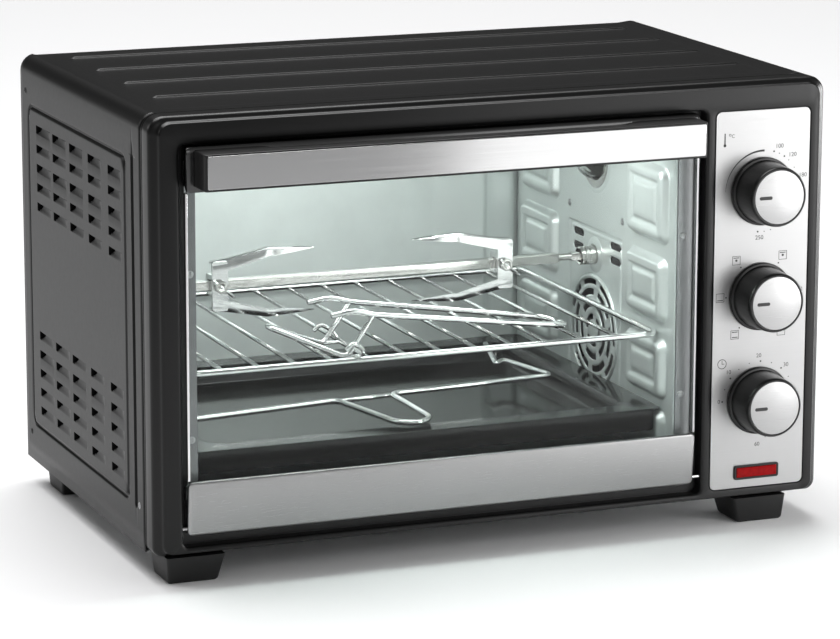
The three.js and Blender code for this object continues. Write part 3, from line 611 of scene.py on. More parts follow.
def make_bezel():
    """Moulded frame: stepped outside, lipped opening, recess for the panel, hollow back."""
    bm = bmesh.new()
    rings = []
    for y, side, top, r in STEPS:
        outline = rounded(side, W - side, FOOT + side * 0.35, TOP - top, [7, 7, r, r], 10)
        rings.append(ring_verts(bm, "y", outline, y))
    bridge(bm, *rings)
    lip = [(0.0, 2.6), (0.12, 1.8), (0.5, 1.0), (1.1, 0.4), (1.9, 0.1), (2.8, 0.0), (9.9, 0.0)]
    hole = [ring_verts(bm, "y", grown(OPEN, d, 4.0), y) for y, d in lip]
    bridge(bm, *hole)
    recess = [(0.0, 1.5), (0.15, 1.0), (0.6, 0.7), (1.9, 0.7)]
    dip = [ring_verts(bm, "y", grown(PANEL, d, 4.0), y) for y, d in recess]
    dip += [ring_verts(bm, "y", grown(PANEL, -3.0, 6.0), y) for y in (1.9, 8.0)]
    bridge(bm, *dip)
    fill_between(bm, (rings[-1], hole[0], dip[0]))
    wall = 1.4
    hollow = rounded(wall, W - wall, FOOT + wall, TOP - wall, [6, 6, 10.6, 10.6], 10)
    bridge(bm, rings[0], *(ring_verts(bm, "y", hollow, y) for y in (21.7, 9.9)))
    return finish_mesh("bezel_frame", bm, "bezel", H, 30)


bezel = make_bezel()
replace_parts(bezel, "front_bezel")

# a black frame round the opening, behind the door, that makes the strip seen past the door's side edges
# black; thin enough to clear the bottom rail when the door hangs open
prism("door_seal", "y", rounded(20.8, 413.6, 25.8, 305.6, 3.6, 6), 9.15, 9.75, "plastic", H,
      holes=[rounded(28.2, 408.6, 33.0, 300.5, 4.0, 6)], edge=0.2)

# ---- plain sheets that keep their CAD shape ------------------------------------------------
def dress(node, mat, width):
    """Gives a CAD node its material, smooth shading by angle and a small edge."""
    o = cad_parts[node]
    o.data.materials.clear()
    o.data.materials.append(M[mat])
    for p in o.data.polygons:
        p.use_smooth = True
        p.material_index = 0
    bevelled(o, width, harden=True)


for node, mat, width in (
    ("bottom_plate", "backsheet", 0.3), ("rear_cover", "backsheet", 0.25), ("cord_gland", "plastic", 0.4),
    ("cavity_front_frame", "flange", 0.3), ("cavity_floor", "liner", 0.2), ("cavity_ceiling", "liner", 0.2),
    ("control_bracket", "liner", 0.2), ("thermostat_body", "steatite", 0.8),
    ("selector_body", "plastic", 0.8), ("timer_body", "zinc", 0.8), ("shaft_temperature", "zinc", 0.3),
    ("shaft_function", "zinc", 0.3),
    ("shaft_timer", "zinc", 0.3), ("hinge_block_left", "zinc", 0.3), ("hinge_block_right", "zinc", 0.3),
    ("hinge_pin_left", "chrome", 0.2), ("hinge_pin_right", "chrome", 0.2), ("spit_motor", "zinc", 0.6),
    ("fan_motor", "zinc", 0.6), ("fan_wheel", "zinc", 0.2), ("spit_seat", "nickel", 0.3),
):
    dress(node, mat, width)

# ---- cavity ---------------------------------------------------------------------------------
CX0, CX1, CY0, CY1, CZ0, CZ1 = 34.2, 397.0, 11.5, 298.0, 45.0, 300.0
BOSS_Y = ((23, 89), (216, 284))
BOSS_Z = ((49, 83.2), (90.5, 136), (147, 195.5), (205, 262))
SPIT_Z, FAN_Z, LAMP_Z = 175.0, 117.0, 250.0
PRESS_STEPS = (0, 1, 2, 3, 4, 5.5, 9, 10.5, 12, 13, 14, 15.5, 17)
SLOTS = [(cy, cz) for cz in (187.5, 176.5) for cy in (116, 182)]
WALL_HOLES = ((FAN_Z, 40.5), (LAMP_Z, 20), (SPIT_Z, 7.5))


def wall_height(y, z, grille):
    """How far the pressed side wall stands into the cavity."""
    h = 0.0
    for y0, y1 in BOSS_Y:
        for z0, z1 in BOSS_Z:
            dy, dz = min(y - y0, y1 - y), min(z - z0, z1 - z)
            if dy > 0 and dz > 0:
                d = rim_distance(dy, dz, 9.0)
                h += 5.6 * smooth(d / 5.5)
                h -= 1.5 * ridge(d, 13, 1.2, 2.2)
    if grille:
        dy = abs(y - 150.5) - 47.5
        dz = z - 195
        d = max(dy, dz) if dy < 0 or dz < 0 else hypot(dy, dz)
        if z > 70:
            h -= 1.6 * ridge(d, -2, 0.9, 1.6)
            h -= 0.8 * smooth((-d - 3) / 3)
        for cy, cz in SLOTS:
            e = max(abs(y - cy) - 6.2, 0), abs(z - cz)
            h -= 3.5 * smooth((3.3 - hypot(*e)) / 0.9)
    return h


def wall_lines(grille):
    ys, zs = [], []
    for y0, y1 in BOSS_Y:
        ys += both_ends(y0, y1, PRESS_STEPS)
    for z0, z1 in BOSS_Z:
        zs += both_ends(z0, z1, PRESS_STEPS)
    if grille:
        for c in (103, 198):
            ys += [c + d for d in range(-6, 7)]
        zs += [188 + d for d in range(10)]
        for cy, cz in SLOTS:
            ys += [cy + d for d in (-9.6, -9, -8, -7, -6, 6, 7, 8, 9, 9.6)]
            zs += [cz + d for d in (-3.4, -3, -2.4, -1.6, 0, 1.6, 2.4, 3, 3.4)]
    return stops_between(CY0, CY1 - 0.3, ys, 3.0), stops_between(CZ0 + 0.3, CZ1 - 0.3, zs, 3.0)


def right_keep(y, z):
    return all(hypot(y - MIDY, z - hole_z) > r for hole_z, r in WALL_HOLES)


def right_point(y, z):
    return (CX1 - wall_height(y, z, True), y, z)


def left_point(y, z):
    return (CX0 + wall_height(y, z, False), y, z)


wall_r = relief("cavity_wall_right", *wall_lines(True), right_point, "liner", 0.7, keep=right_keep)
wall_l = relief("cavity_wall_left", *wall_lines(False), left_point, "liner", -0.7)
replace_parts(wall_l, "cavity_left_wall")


def fan_grille():
    """Dished disc with rings of swirling slots cut right through, and a rolled rim."""
    bm = bmesh.new()
    radii = [
        0, 2.5, 5, 7.6, 8.1, 12.6, 13.1, 16, 17.6, 22.6, 23.1, 25.4, 27, 31.9, 32.4, 34, 35.3, 39.6, 40.2,
        41.2, 42.0, 42.8,
    ]
    # inner and outer radius of each ring of slots: how many, and where the first begins
    bands = {(8.1, 12.6): (3, 0.0), (17.6, 22.6): (5, 0.5), (27, 31.9): (6, 0.25), (35.3, 39.6): (8, 0.6)}
    open_share = 0.76  # of each slot's turn; the rest is the bar between two slots
    seg = 240
    rows = []
    for r in radii:
        row = []
        for k in range(seg):
            a = TAU * k / seg
            x = CX1 - 0.9 - 0.3 * ridge(r, 41.2, 0.4, 1.4) + 0.9 * smooth((r - 41.4) / 1.3)
            for lo, hi in bands:
                x += 0.35 * ridge(r, (lo + hi) / 2, 1.7, 1.6)
            row.append(bm.verts.new(P(x, MIDY + r * cos(a), FAN_Z + r * sin(a))))
        rows.append(row)
    for i in range(len(radii) - 1):
        slot = bands.get((radii[i], radii[i + 1]))
        for k in range(seg):
            if slot:
                count, phase = slot
                if (k / seg * count + phase) % 1.0 < open_share:
                    continue
            bm.faces.new([rows[i][k], rows[i][(k + 1) % seg], rows[i + 1][(k + 1) % seg], rows[i + 1][k]])
    weld(bm)
    sheet(finish_mesh("fan_grille", bm, "liner", H, 40), 0.7, 0)


fan_grille()
# painted shade: a dark plate inside each slot's dip stands in for the shade inside the slot
for k, (cy, cz) in enumerate(SLOTS):
    outline = rounded(cy - 9.2, cy + 9.2, cz - 2.9, cz + 2.9, 2.8, 6)
    prism(f"wall_slot_shade_{k}", "x", outline, CX1 + 0.5, CX1 + 1.1, "dark", H, edge=0)
lathe("lamp_hole_rim", "x", (CX1, MIDY, LAMP_Z), [
    (20, 0.4), (20, -0.6), (21, -1.2), (26, -1.2), (28, -0.6), (30, 0.1), (29, 0.4),
    (20, 0.4)], "liner", H, 72)
lathe("spit_hole_rim", "x", (CX1, MIDY, SPIT_Z), [
    (7.6, 0.4), (7.6, -0.9), (8.4, -1.4), (11, -1.2), (13.5, -0.2), (13.5, 0.4), (7.6, 0.4)], "liner", H, 48)
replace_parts(wall_r, "cavity_right_wall")
for k, (y, z) in enumerate(((197.6, 207), (102.8, 209), (197.6, 72), (102.8, 72), (18, 290), (292, 290))):
    screw(f"wall_screw_{k}", "x", (CX1 - 0.2, y, z), 3.0, "zinc", 1.3, 1)
for k, (x, z) in enumerate(((401, 215), (401, 99), (30, 215), (30, 99))):
    screw(f"flange_screw_{k}", "y", (x, 10.1, z), 2.6, "zinc", 0.9, 1)


def back_point(x, z):
    """The back wall stands 2.4 mm into the cavity inside a rounded border."""
    d = rim_distance(min(x - 60, 371 - x), min(z - 68, 276 - z), 12.0)
    return (x, CY1 - 2.4 * smooth(d / 5.0) + 0.1, z)


bx = stops_between(CX0 + 0.4, CX1 - 0.4, both_ends(60, 371, (0, 2, 4, 6, 8, 10, 12)), 12)
bz = stops_between(CZ0 + 0.4, CZ1 - 0.4, both_ends(68, 276, (0, 2, 4, 6, 8, 10, 12)), 12)
back_wall = relief("cavity_wall_back", bx, bz, back_point, "liner", 0.7)
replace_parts(back_wall, "cavity_back_wall")


def heater(name, z, node):
    loop = [(412, 100, z), (62, 100, z), (62, 205, z), (412, 205, z)]
    o = tubes(name, [dict(points=loop, r=3.3, bend=24, sides=20, steps=10)], "zinc", H)
    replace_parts(o, node)


heater("heater_tube_lower", 55, "heater_lower")
heater("heater_tube_upper", 288, "heater_upper")


def lamp_dome():
    """Ribbed glass dome on the right wall."""
    outer = [
        (0.01, -15.0), (4, -14.8), (8, -13.9), (11.5, -12.3), (14, -10.0), (16, -6.5), (16.9, -3),
        (17, 4), (17, 12),
    ]
    inner = [
        (15.4, 12), (15.4, 4), (15.3, -2.8), (14.5, -5.8), (12.6, -8.9), (10.4, -10.8), (7.2, -12.3),
        (3.6, -13.2), (0.01, -13.4),
    ]

    def profile_at(a):
        rib = 0.55 * cos(16 * a)
        ribbed = [(r - (0.5 - rib) * smooth((r - 5) / 7) if d < 6 else r, d) for r, d in outer]
        return ribbed + inner

    bm = bmesh.new()
    rows = turned(bm, "x", (CX1, MIDY, LAMP_Z), profile_at, 96)
    for end in (0, -1):
        bm.faces.new([row[end] for row in rows])
    return finish_mesh("lamp_dome", bm, "lampglass", H, 60)


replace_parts(lamp_dome(), "lamp_glass")
holder = lathe("lamp_flange", "x", (CX1, MIDY, LAMP_Z), [
    (17.6, 6), (17.6, -1.0), (18.2, -1.7), (22.6, -1.7), (23.8, -1.2), (24, -0.4), (19.5, -0.2), (19.5, 30),
    (17.6, 30), (17.6, 6)], "nickel", H, 72)
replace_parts(holder, "lamp_holder")

# ---- control panel ---------------------------------------------------------------------------
PX0, PX1, PZ0, PZ1 = PANEL
KNOB_X = 459.0
KNOB_Z = {"temperature": 245.5, "function": 168.5, "timer": 91.5}


def circle(cx, cz, r, n=40):
    return [(cx + r * cos(TAU * i / n), cz + r * sin(TAU * i / n)) for i in range(n)]


lamp_cut = rounded(441.6, 475.4, 34, 43, 0.6, 3)
fascia = prism("panel_fascia", "y", rounded(PX0, PX1, PZ0, PZ1, 4.0, 10), 0.15, 1.4, "panel", H,
               holes=[circle(KNOB_X, z, 4.6) for z in KNOB_Z.values()] + [lamp_cut], edge=0.35, segments=3)
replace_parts(fascia, "control_fascia")

INK_Y = 0.12
ink_count = [0]


def ink(outline):
    ink_count[0] += 1
    prism(f"print_{ink_count[0]:02d}", "y", outline, INK_Y - 0.04, INK_Y + 0.05, "ink", H, edge=0)


def ink_bar(x0, z0, x1, z1, w):
    d = Vector((x1 - x0, z1 - z0)).normalized() * w / 2
    n = Vector((-d.y, d.x))
    ink([
        (x0 - d.x - n.x, z0 - d.y - n.y), (x1 + d.x - n.x, z1 + d.y - n.y),
        (x1 + d.x + n.x, z1 + d.y + n.y), (x0 - d.x + n.x, z0 - d.y + n.y),
    ])


def ink_dot(x, z, r=0.6):
    ink(circle(x, z, r, 14))


def ink_arc(cx, cz, r, a0, a1, w0, w1, steps=28):
    """An arc from a0 to a1 degrees whose width goes from w0 to w1."""
    outer, inner = [], []
    for i in range(steps + 1):
        t = i / steps
        a = radians(a0 + (a1 - a0) * t)
        w = (w0 + (w1 - w0) * t) / 2
        outer.append((cx + (r + w) * cos(a), cz + (r + w) * sin(a)))
        inner.append((cx + (r - w) * cos(a), cz + (r - w) * sin(a)))
    ink(outer + inner[::-1])


def ink_text(words, x, z, size):
    """Dial numbers, converted to a thin mesh."""
    curve = bpy.data.curves.new(f"dial_{words}", "FONT")
    curve.body = words
    curve.size = size / 1000.0
    curve.align_x, curve.align_y = "CENTER", "CENTER"
    curve.extrude = 0.00004
    temp = bpy.data.objects.new("temp_text", curve)
    SCENE.collection.objects.link(temp)
    bpy.context.view_layer.update()
    me = bpy.data.meshes.new_from_object(temp.evaluated_get(bpy.context.evaluated_depsgraph_get()))
    bpy.data.objects.remove(temp)
    me.transform(Matrix.Translation(P(x, INK_Y, z)) @ Matrix.Rotation(pi / 2, 4, "X"))
    me.materials.clear()
    me.materials.append(M["ink"])
    ink_count[0] += 1
    o = bpy.data.objects.new(f"dial_number_{ink_count[0]:02d}", me)
    SCENE.collection.objects.link(o)
    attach(o, H)


def polar(cz, r, degrees):
    """Degrees clockwise from the top."""
    a = radians(90 - degrees)
    return KNOB_X + r * cos(a), cz + r * sin(a)


zt, zf, zm = KNOB_Z.values()
ink_arc(KNOB_X, zt, 29.4, 178, 88, 0.15, 1.5)
for degrees in (17, 26, 35, 44, 58, 70, 82, 94, 106, 118, 130, 142, 154, 166, 176, 186):
    ink_dot(*polar(zt, 29.6, degrees), 0.42 + 0.25 * (degrees in (17, 35, 70, 186)))
for words, x, z in (("100", 472, 277.4), ("120", 482.6, 270.6), ("180", 491.2, 255.2), ("250", 457.3, 211.6)):
    ink_text(words, x, z, 4.4)
ink_bar(428.4, 281.0, 428.4, 288.5, 0.9)
ink_dot(428.4, 280.2, 1.1)
ink_arc(432.4, 287.6, 0.75, 0, 355, 0.35, 0.35, 16)
ink_text("C", 434.9, 286.6, 3.6)


def ink_box(cx, cz, bars):
    """Function sign: a small square with upper and lower heater lines and a fan dot."""
    s = 3.1
    for x0, z0, x1, z1 in ((-s, -s, s, -s), (s, -s, s, s), (s, s, -s, s), (-s, s, -s, -s)):
        ink_bar(cx + x0, cz + z0, cx + x1, cz + z1, 0.35)
    if "u" in bars:
        ink_bar(cx - 2, cz + 1.9, cx + 2, cz + 1.9, 0.6)
    if "l" in bars:
        ink_bar(cx - 2, cz - 1.9, cx + 2, cz - 1.9, 0.6)
    if "f" in bars:
        ink_dot(cx, cz, 0.9)


for cx, cz, bars in (
    (439.3, 196, "uf"), (476.5, 197.5, "uf"), (426.9, 169.5, "l"), (439.2, 141.5, "ul"), (489.6, 169.5, "f"),
    (476.5, 141.5, "u"),
):
    ink_box(cx, cz, bars)
    v = Vector((cx - KNOB_X, cz - zf)).normalized() * 27.4
    ink_dot(KNOB_X + v.x, zf + v.y, 0.62)
ink_arc(429.5, 120.5, 3.4, 0, 359, 0.5, 0.5, 32)
ink_bar(429.5, 120.5, 429.5, 122.9, 0.45)
ink_bar(429.5, 120.5, 431.1, 120.5, 0.45)
for words, degrees in (("0", 272), ("10", 313), ("20", 0), ("30", 42), ("60", 180)):
    x, z = polar(zm, 33.0, degrees)
    ink_text(words, max(x, 427.5), z, 4.2)
for k in range(15):
    ink_dot(*polar(zm, 28.8, 272 + k * 18.2), 0.42 + 0.25 * (k in (0, 2, 5, 7)))


def make_knob(name, z):
    """Moulded knob: flange, shallow groove, tapered grip with fine flutes, steel disc and pointer."""
    body = f"{name}_control"
    prof = [
        (6.5, -1.0), (22.0, -0.5), (24.4, -0.55), (24.8, -1.0), (24.75, -2.2), (24.3, -2.9), (23.0, -3.2),
        (22.7, -3.8), (22.65, -5.0), (22.2, -14.0), (21.8, -23.6), (21.5, -25.6), (21.1, -26.5),
        (20.5, -26.95), (19.9, -26.9), (19.75, -26.2), (19.7, -25.4), (0.01, -25.4),
    ]

    def profile_at(a):
        flute = 0.09 * (0.5 + 0.5 * cos(48 * a))
        return [(r - flute * smooth((-d - 4.5) / 1.5) * smooth((25.5 + d) / 1.5), d) for r, d in prof]

    bm = bmesh.new()
    rows = turned(bm, "y", (KNOB_X, 0, z), profile_at, 144)
    bm.faces.new([row[0] for row in rows])
    o = finish_mesh(f"grip_{name}", bm, "knob", body, 40)
    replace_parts(o, f"knob_{name}")
    cap = lathe(f"disc_{name}", "y", (KNOB_X, 0, z), [
        (0.0, -25.6), (0.0, -26.9), (18.9, -26.9), (19.3, -26.8), (19.55, -26.4), (19.55, -25.6),
        (0.0, -25.6)], "cap", body, 96)
    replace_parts(cap, f"knob_cap_{name}")
    bar = rounded(KNOB_X - 15.8, KNOB_X - 5.6, z - 1.25, z + 1.25, 1.2, 8)
    prism(f"pointer_{name}", "y", bar, -26.97, -26.8, "ink", body, edge=0.05)


for name, z in KNOB_Z.items():
    make_knob(name, z)

frame_hole = rounded(442.4, 474.6, 34.8, 42.2, 0.5, 4)
lamp_frame = prism("pilot_bezel", "y", rounded(440.6, 476.4, 33.2, 43.8, 1.8, 6), -1.25, -0.05, "plastic", H,
                   holes=[frame_hole], edge=0.35, segments=3)
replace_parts(lamp_frame, "pilot_lamp_frame")


def pilot_lens():
    """Red lens with fine upright ridges."""
    bm = bmesh.new()
    x0, x1, z0, z1 = 442.6, 474.4, 35.0, 42.0
    columns = 64
    front = []
    for j in range(5):
        row = []
        for i in range(columns + 1):
            x = x0 + (x1 - x0) * i / columns
            z = z0 + (z1 - z0) * j / 4
            edge = min(x - x0, x1 - x, z - z0, z1 - z)
            y = -1.85 + 0.5 * (1 - smooth(edge / 0.7)) + (0.12 if i % 2 else 0.0)
            row.append(bm.verts.new(P(x, y, z)))
        front.append(row)
    for j in range(4):
        for i in range(columns):
            bm.faces.new([front[j][i], front[j][i + 1], front[j + 1][i + 1], front[j + 1][i]])
    border = front[0] + [row[-1] for row in front[1:]]
    border += front[4][::-1][1:] + [row[0] for row in front[3:0:-1]]
    rear = [bm.verts.new(v.co + Vector((0, 0.0186, 0))) for v in border]  # metres
    bridge(bm, border, rear)
    bm.faces.new(rear)
    return finish_mesh("pilot_lens", bm, "red", H, 25)


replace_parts(pilot_lens(), "pilot_lamp_lens")

# ---- door ---------------------------------------------------------------------------------
D = "door"
DX0, DX1 = 23.7, 408.0


# distance in from each end of a rail, and how much of its outline is left there
RAIL_ENDS = [(0, 0.25), (0.25, 0.6), (0.9, 0.85), (2.2, 0.97), (3.6, 1.0)]


def rail(name, profile, mat):
    """A folded rail as wide as the door, with eased ends."""
    cy = sum(p[0] for p in profile) / len(profile)
    cz = sum(p[1] for p in profile) / len(profile)
    stations = [(DX0 + d, s) for d, s in RAIL_ENDS] + [(DX1 - d, s) for d, s in RAIL_ENDS[::-1]]
    rings = []
    for x, s in stations:
        grow = 1 - (1 - s) * 0.35
        rings.append([(x, cy + (y - cy) * s if y < cy else y, cz + (z - cz) * grow) for y, z in profile])
    return loft(name, rings, mat, D, 35)


top_profile = [
    (-3.0, 274.0), (-3.0, 299.6), (-2.8, 301.6), (-2.1, 303.3), (-0.9, 304.5), (0.8, 305.0), (6.2, 305.0),
    (6.5, 304.7), (6.5, 277.0), (3.6, 277.0), (3.6, 296.3), (-1.0, 296.3), (-1.0, 273.5), (-2.2, 273.5),
    (-2.75, 273.7),
]
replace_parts(rail("rail_top", top_profile, "polished"), "door_top_rail")
bottom_profile = [
    (-3.0, 70.2), (1.0, 34.8), (1.3, 33.8), (2.1, 33.0), (6.8, 33.0), (7.0, 33.3), (7.0, 68.0),
    (3.6, 68.0), (3.6, 59.5), (-1.0, 59.5), (-1.0, 72.0), (-1.9, 71.9), (-2.55, 71.5), (-2.88, 71.0),
]
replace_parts(rail("rail_bottom", bottom_profile, "rail"), "door_bottom_rail")

pane_outline = rounded(DX0 + 0.4, DX1 - 0.4, 60, 296, 2.0, 4)
pane = prism("glass_pane", "y", pane_outline, -0.7, 3.3, "glass", D, edge=0.5, segments=3)
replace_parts(pane, "door_glass")

# painted light: the strips stand in for the glass's bright edges; the same strip is bright chrome on the
# left, where its edge catches light, and darker zinc on the right, where it is in shade
for side, x, finish in (("left", DX0 + 0.05, "chrome"), ("right", DX1 - 1.75, "zinc")):
    outline = rounded(x, x + 1.7, 72.4, 273.0, 0.3, 3)
    prism(f"glass_edge_painted_light_{side}", "y", outline, -0.8, 3.5, finish, D, edge=0.35, segments=3)

# handle: hollow-backed bar on two long feet, brushed fascia let into its face
HX0, HX1, HZ0, HZ1, HF = 29.5, 402.5, 277.5, 303.0, -26.0
half_plan = [(44, -3.2), (50, -5.2), (53, -10.5), (57, -13.2), (62, -14)]
corner = [(0, -3.2), (0, HF + 2.6), (0.5, HF + 1.0), (1.4, HF + 0.2), (2.6, HF)]
plan = [(HX0 + d, y) for d, y in corner] + [(HX1 - d, y) for d, y in corner[::-1]]
plan += [(HX1 - d, y) for d, y in half_plan] + [(HX0 + d, y) for d, y in half_plan[::-1]]
handle = prism("handle_body", "z", plan, HZ0, HZ1, "plastic", D, edge=1.0, segments=4)
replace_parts(handle, "handle_bar")
strip_outline = rounded(HX0 + 2.0, HX1 - 2.0, HZ0 + 1.6, HZ1 - 1.2, 1.0, 4)
strip = prism("handle_strip", "y", strip_outline, HF - 0.55, HF + 0.2, "brushed_x", D, edge=0.45, segments=3)
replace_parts(strip, "handle_fascia")

# ---- feet -----------------------------------------------------------------------------------
# outer corner x, the way inward, outer corner y, the way to the middle
FEET = {
    "front_left": (9.7, 1, 2.6, 1), "front_right": (482, -1, 2.6, 1),
    "rear_left": (9.7, 1, 288, -1), "rear_right": (482, -1, 288, -1),
}
for name, (fx, inward, fy, backward) in FEET.items():
    rings = []
    for t, grow in ((0.0, -0.9), (0.05, -0.2), (0.12, 0.0), (0.9, 0.0), (1.0, 0.0)):
        z = 18.7 * t
        u0, u1 = -1.4 * t - grow, 36.3 + 4.7 * t + grow
        w0, w1 = -2.4 * t - grow, 33 + 4 * t + grow
        ring = rounded(u0, u1, w0, w1, 2.2, 6)
        rings.append([(fx + inward * u, fy + backward * w, z) for u, w in ring])
    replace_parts(loft(f"foot_block_{name}", rings, "foot", H), f"foot_{name}")

# ---- spit, forks and screws -------------------------------------------------------------------
S = "spit"


def square(half, r=0.6):
    return rounded(MIDY - half, MIDY + half, SPIT_Z - half, SPIT_Z + half, r, 4)


def spit_rod():
    """Round tip and collar, square bar, turned neck and square drive end."""
    # x, half width, corner radius
    stations = [
        (34.8, 2.4, 2.35), (35.6, 3.4, 3.35), (45.6, 3.4, 3.35), (45.7, 7.6, 7.55), (46.2, 8, 7.95),
        (48.2, 8, 7.95), (48.6, 7.6, 7.55), (48.7, 3.5, 0.5), (365, 3.5, 0.5), (366, 3.2, 0.8),
        (366.6, 2.6, 2.55), (376.5, 2.6, 2.55), (377.2, 3.0, 0.5), (389.8, 3.0, 0.5), (391, 2.2, 0.5),
    ]
    bm = bmesh.new()
    rings = [ring_verts(bm, "x", square(half, r), x) for x, half, r in stations]
    bridge(bm, *rings)
    bm.faces.new(rings[0])
    bm.faces.new(rings[-1])
    return finish_mesh("spit_bar", bm, "nickel", S, 30)


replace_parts(spit_rod(), "spit_rod")
socket = lathe("socket_sleeve", "x", (0, MIDY, SPIT_Z), [
    (4.9, 384.2), (6.2, 383.5), (6.8, 383.9), (7.0, 384.6), (7.0, 386.2), (6.5, 386.6), (6.5, 387.4),
    (7.0, 387.8), (7.0, 390.0), (6.5, 390.4), (6.5, 391.2), (7.0, 391.6), (7.0, 413), (2.0, 413), (2.0, 393),
    (4.9, 393), (4.9, 384.2)], "nickel", S, 56)
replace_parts(socket, "drive_socket")

FORK_FRONT, FORK_WIDTH = 144.0, 12.0


def fork_piece(name, x, side, body):
    """Pressed fork: strip and collar on the spit, and two long prongs of folded sheet."""

    def at(u):
        return x + side * u

    # distance along, outer edge, inner edge, half width
    stations = [
        (0.0, 18.3, 11.2, 3.9), (1.2, 18.7, 10.8, 4.0), (12.0, 20.0, 11.2, 4.0), (28.0, 23.0, 15.2, 4.0),
        (40.0, 25.4, 18.3, 3.9), (43.0, 25.9, 19.2, 3.7), (45.5, 25.8, 19.6, 3.4), (48.0, 25.7, 19.4, 3.5),
        (60.0, 25.0, 20.6, 2.9), (70.0, 24.3, 21.7, 2.0), (79.2, 23.4, 23.0, 0.35),
    ]
    bm = bmesh.new()
    mid = FORK_FRONT + 4.0
    for up in (1, -1):
        rings = []
        for u, outer, inner, half in stations:
            t = min(1.3, (outer - inner) * 0.22 + 0.2)
            section = (
                (-half, inner), (-half * 1.02, inner + (outer - inner) * 0.55),
                (-half * 0.72, outer - t * 0.35), (-half * 0.2, outer), (half * 0.45, outer - t * 0.1),
                (half * 0.9, outer - t), (half * 0.9, outer - 2.0 * t), (half * 0.4, outer - 1.3 * t),
                (-half * 0.2, outer - 1.2 * t), (-half * 0.55, outer - 2 * t), (-half * 0.6, inner),
            )
            rings.append([bm.verts.new(P(at(u), mid + dy, SPIT_Z + up * v)) for dy, v in section])
        bridge(bm, *rings)
        bm.faces.new(rings[0])
        bm.faces.new(rings[-1])
    prongs = finish_mesh(f"fork_prongs_{name}", bm, "tool", body, 42)
    x0, x1 = sorted((at(0), at(FORK_WIDTH)))
    strip = rounded(x0, x1, SPIT_Z - 18.4, SPIT_Z + 18.4, 2.2, 5)
    hole = circle(at(6), SPIT_Z, 2.6, 24)
    prism(f"fork_strip_{name}", "y", strip, FORK_FRONT, FORK_FRONT + 1.8, "tool", body,
          holes=[hole], edge=0.5, segments=3)
    collar = rounded(FORK_FRONT + 1.2, MIDY + 8, SPIT_Z - 8, SPIT_Z + 8, 2.4, 5)
    sleeve = prism(f"fork_collar_{name}", "x", collar, x0 + 0.3, x1 - 0.3, "tool", body,
                   holes=[square(3.9)], edge=0.5, segments=3)
    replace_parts(prongs, f"fork_{name}")


def screw_piece(name, x, body):
    """Ring-headed thumbscrew with a bar through it."""
    front = FORK_FRONT - 4.4
    ends = [(x - 4.6, front + 1.8, SPIT_Z + 3.6), (x + 9.8, front + 1.8, SPIT_Z - 8.3)]
    o = tubes(f"screw_lever_{name}", [dict(points=ends, r=1.25, bend=1, sides=16)], "tool", body)
    lathe(f"screw_head_{name}", "y", (x, 0, SPIT_Z), [
        (0, front + 1.0), (1.6, front + 0.9), (2.2, front + 0.2), (3.1, front - 0.1), (4.1, front + 0.1),
        (4.6, front + 0.7), (4.6, front + 2.8), (4.2, front + 3.4), (2.2, front + 3.6), (2.2, 148.1),
        (0, 148.1)], "nickel", body, 48)
    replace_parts(o, f"thumbscrew_{name}")


fork_piece("left", 91.5, 1, "left_fork")
fork_piece("right", 326.5, -1, "right_fork")
screw_piece("left", 97.5, "left_thumbscrew")
screw_piece("right", 320.5, "right_thumbscrew")

# ---- rack ------------------------------------------------------------------------------------
RACK_Z, RACK_R = 138.7, 2.4
RX0, RX1, RY0, RY1 = 37.1, 394.1, 36.0, 287.0
WIRE_GAP = 27.4
corners = [((RX0 + RX1) / 2, RY0), (RX1, RY0), (RX1, RY1), (RX0, RY1), (RX0, RY0)]
frame_wire = [(x, y, RACK_Z) for x, y in corners]
runs = [dict(points=frame_wire, r=RACK_R, bend=10, sides=18, closed=True)]
x = RX0 + WIRE_GAP
while x < RX1 - 10:
    wire = [(x, y, RACK_Z - 1.5) for y in (RY0 + 1.2, RY1 - 1.2)]
    runs.append(dict(points=wire, r=1.5, bend=1, sides=12))
    x += WIRE_GAP
rack = tubes("rack_wires", runs, "chrome", "rack")
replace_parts(rack, "wire_rack")

# ---- tray -------------------------------------------------------------------------------------
def make_tray():
    x0, x1, y0, y1 = 34.7, 396.5, 30.0, 296.0
    # inset, height, corner radius
    section = [
        (0.0, 83.5, 6.0), (0.0, 84.3, 6.0), (0.8, 84.5, 6.2), (2.0, 84.3, 7.0), (19.5, 84.3, 12.5),
        (21.0, 83.9, 13.2), (22.0, 83.0, 13.8), (23.6, 78.0, 13.4), (25.0, 72.6, 12.8), (26.0, 71.0, 12.4),
        (27.6, 70.3, 11.8), (30.0, 70.2, 11.0), (40.0, 70.2, 9.0),
    ]
    bm = bmesh.new()
    rings = [ring_verts(bm, "z", rounded(x0 + i, x1 - i, y0 + i, y1 - i, r, 10), z) for i, z, r in section]
    bridge(bm, *rings)
    bm.faces.new(rings[-1])
    return sheet(finish_mesh("tray_pan", bm, "enamel", "tray", 50), 0.8, -1)


tray = make_tray()
lip_outline = rounded(41.5, 389.5, 68.6, 84.2, [2.5, 2.5, 0.3, 0.3], 6)
prism("tray_lip", "y", lip_outline, 30.05, 31.0, "enamel", "tray", edge=0.3, segments=3)
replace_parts(tray, "baking_tray")

# ---- lifting tools ------------------------------------------------------------------------------
LOW = RACK_Z - RACK_R + 0.8 + 0.3 + 2.2  # wire centre of a tool that lies on the rack
TOOL_Y = 66


def mirrored(r, bend, sides, half):
    """A run through (x, distance behind TOOL_Y, z) points and back through their mirror images."""
    points = [(x, TOOL_Y + d, z) for x, d, z in half] + [(x, TOOL_Y - d, z) for x, d, z in half[::-1]]
    return dict(points=points, r=r, bend=bend, sides=sides)


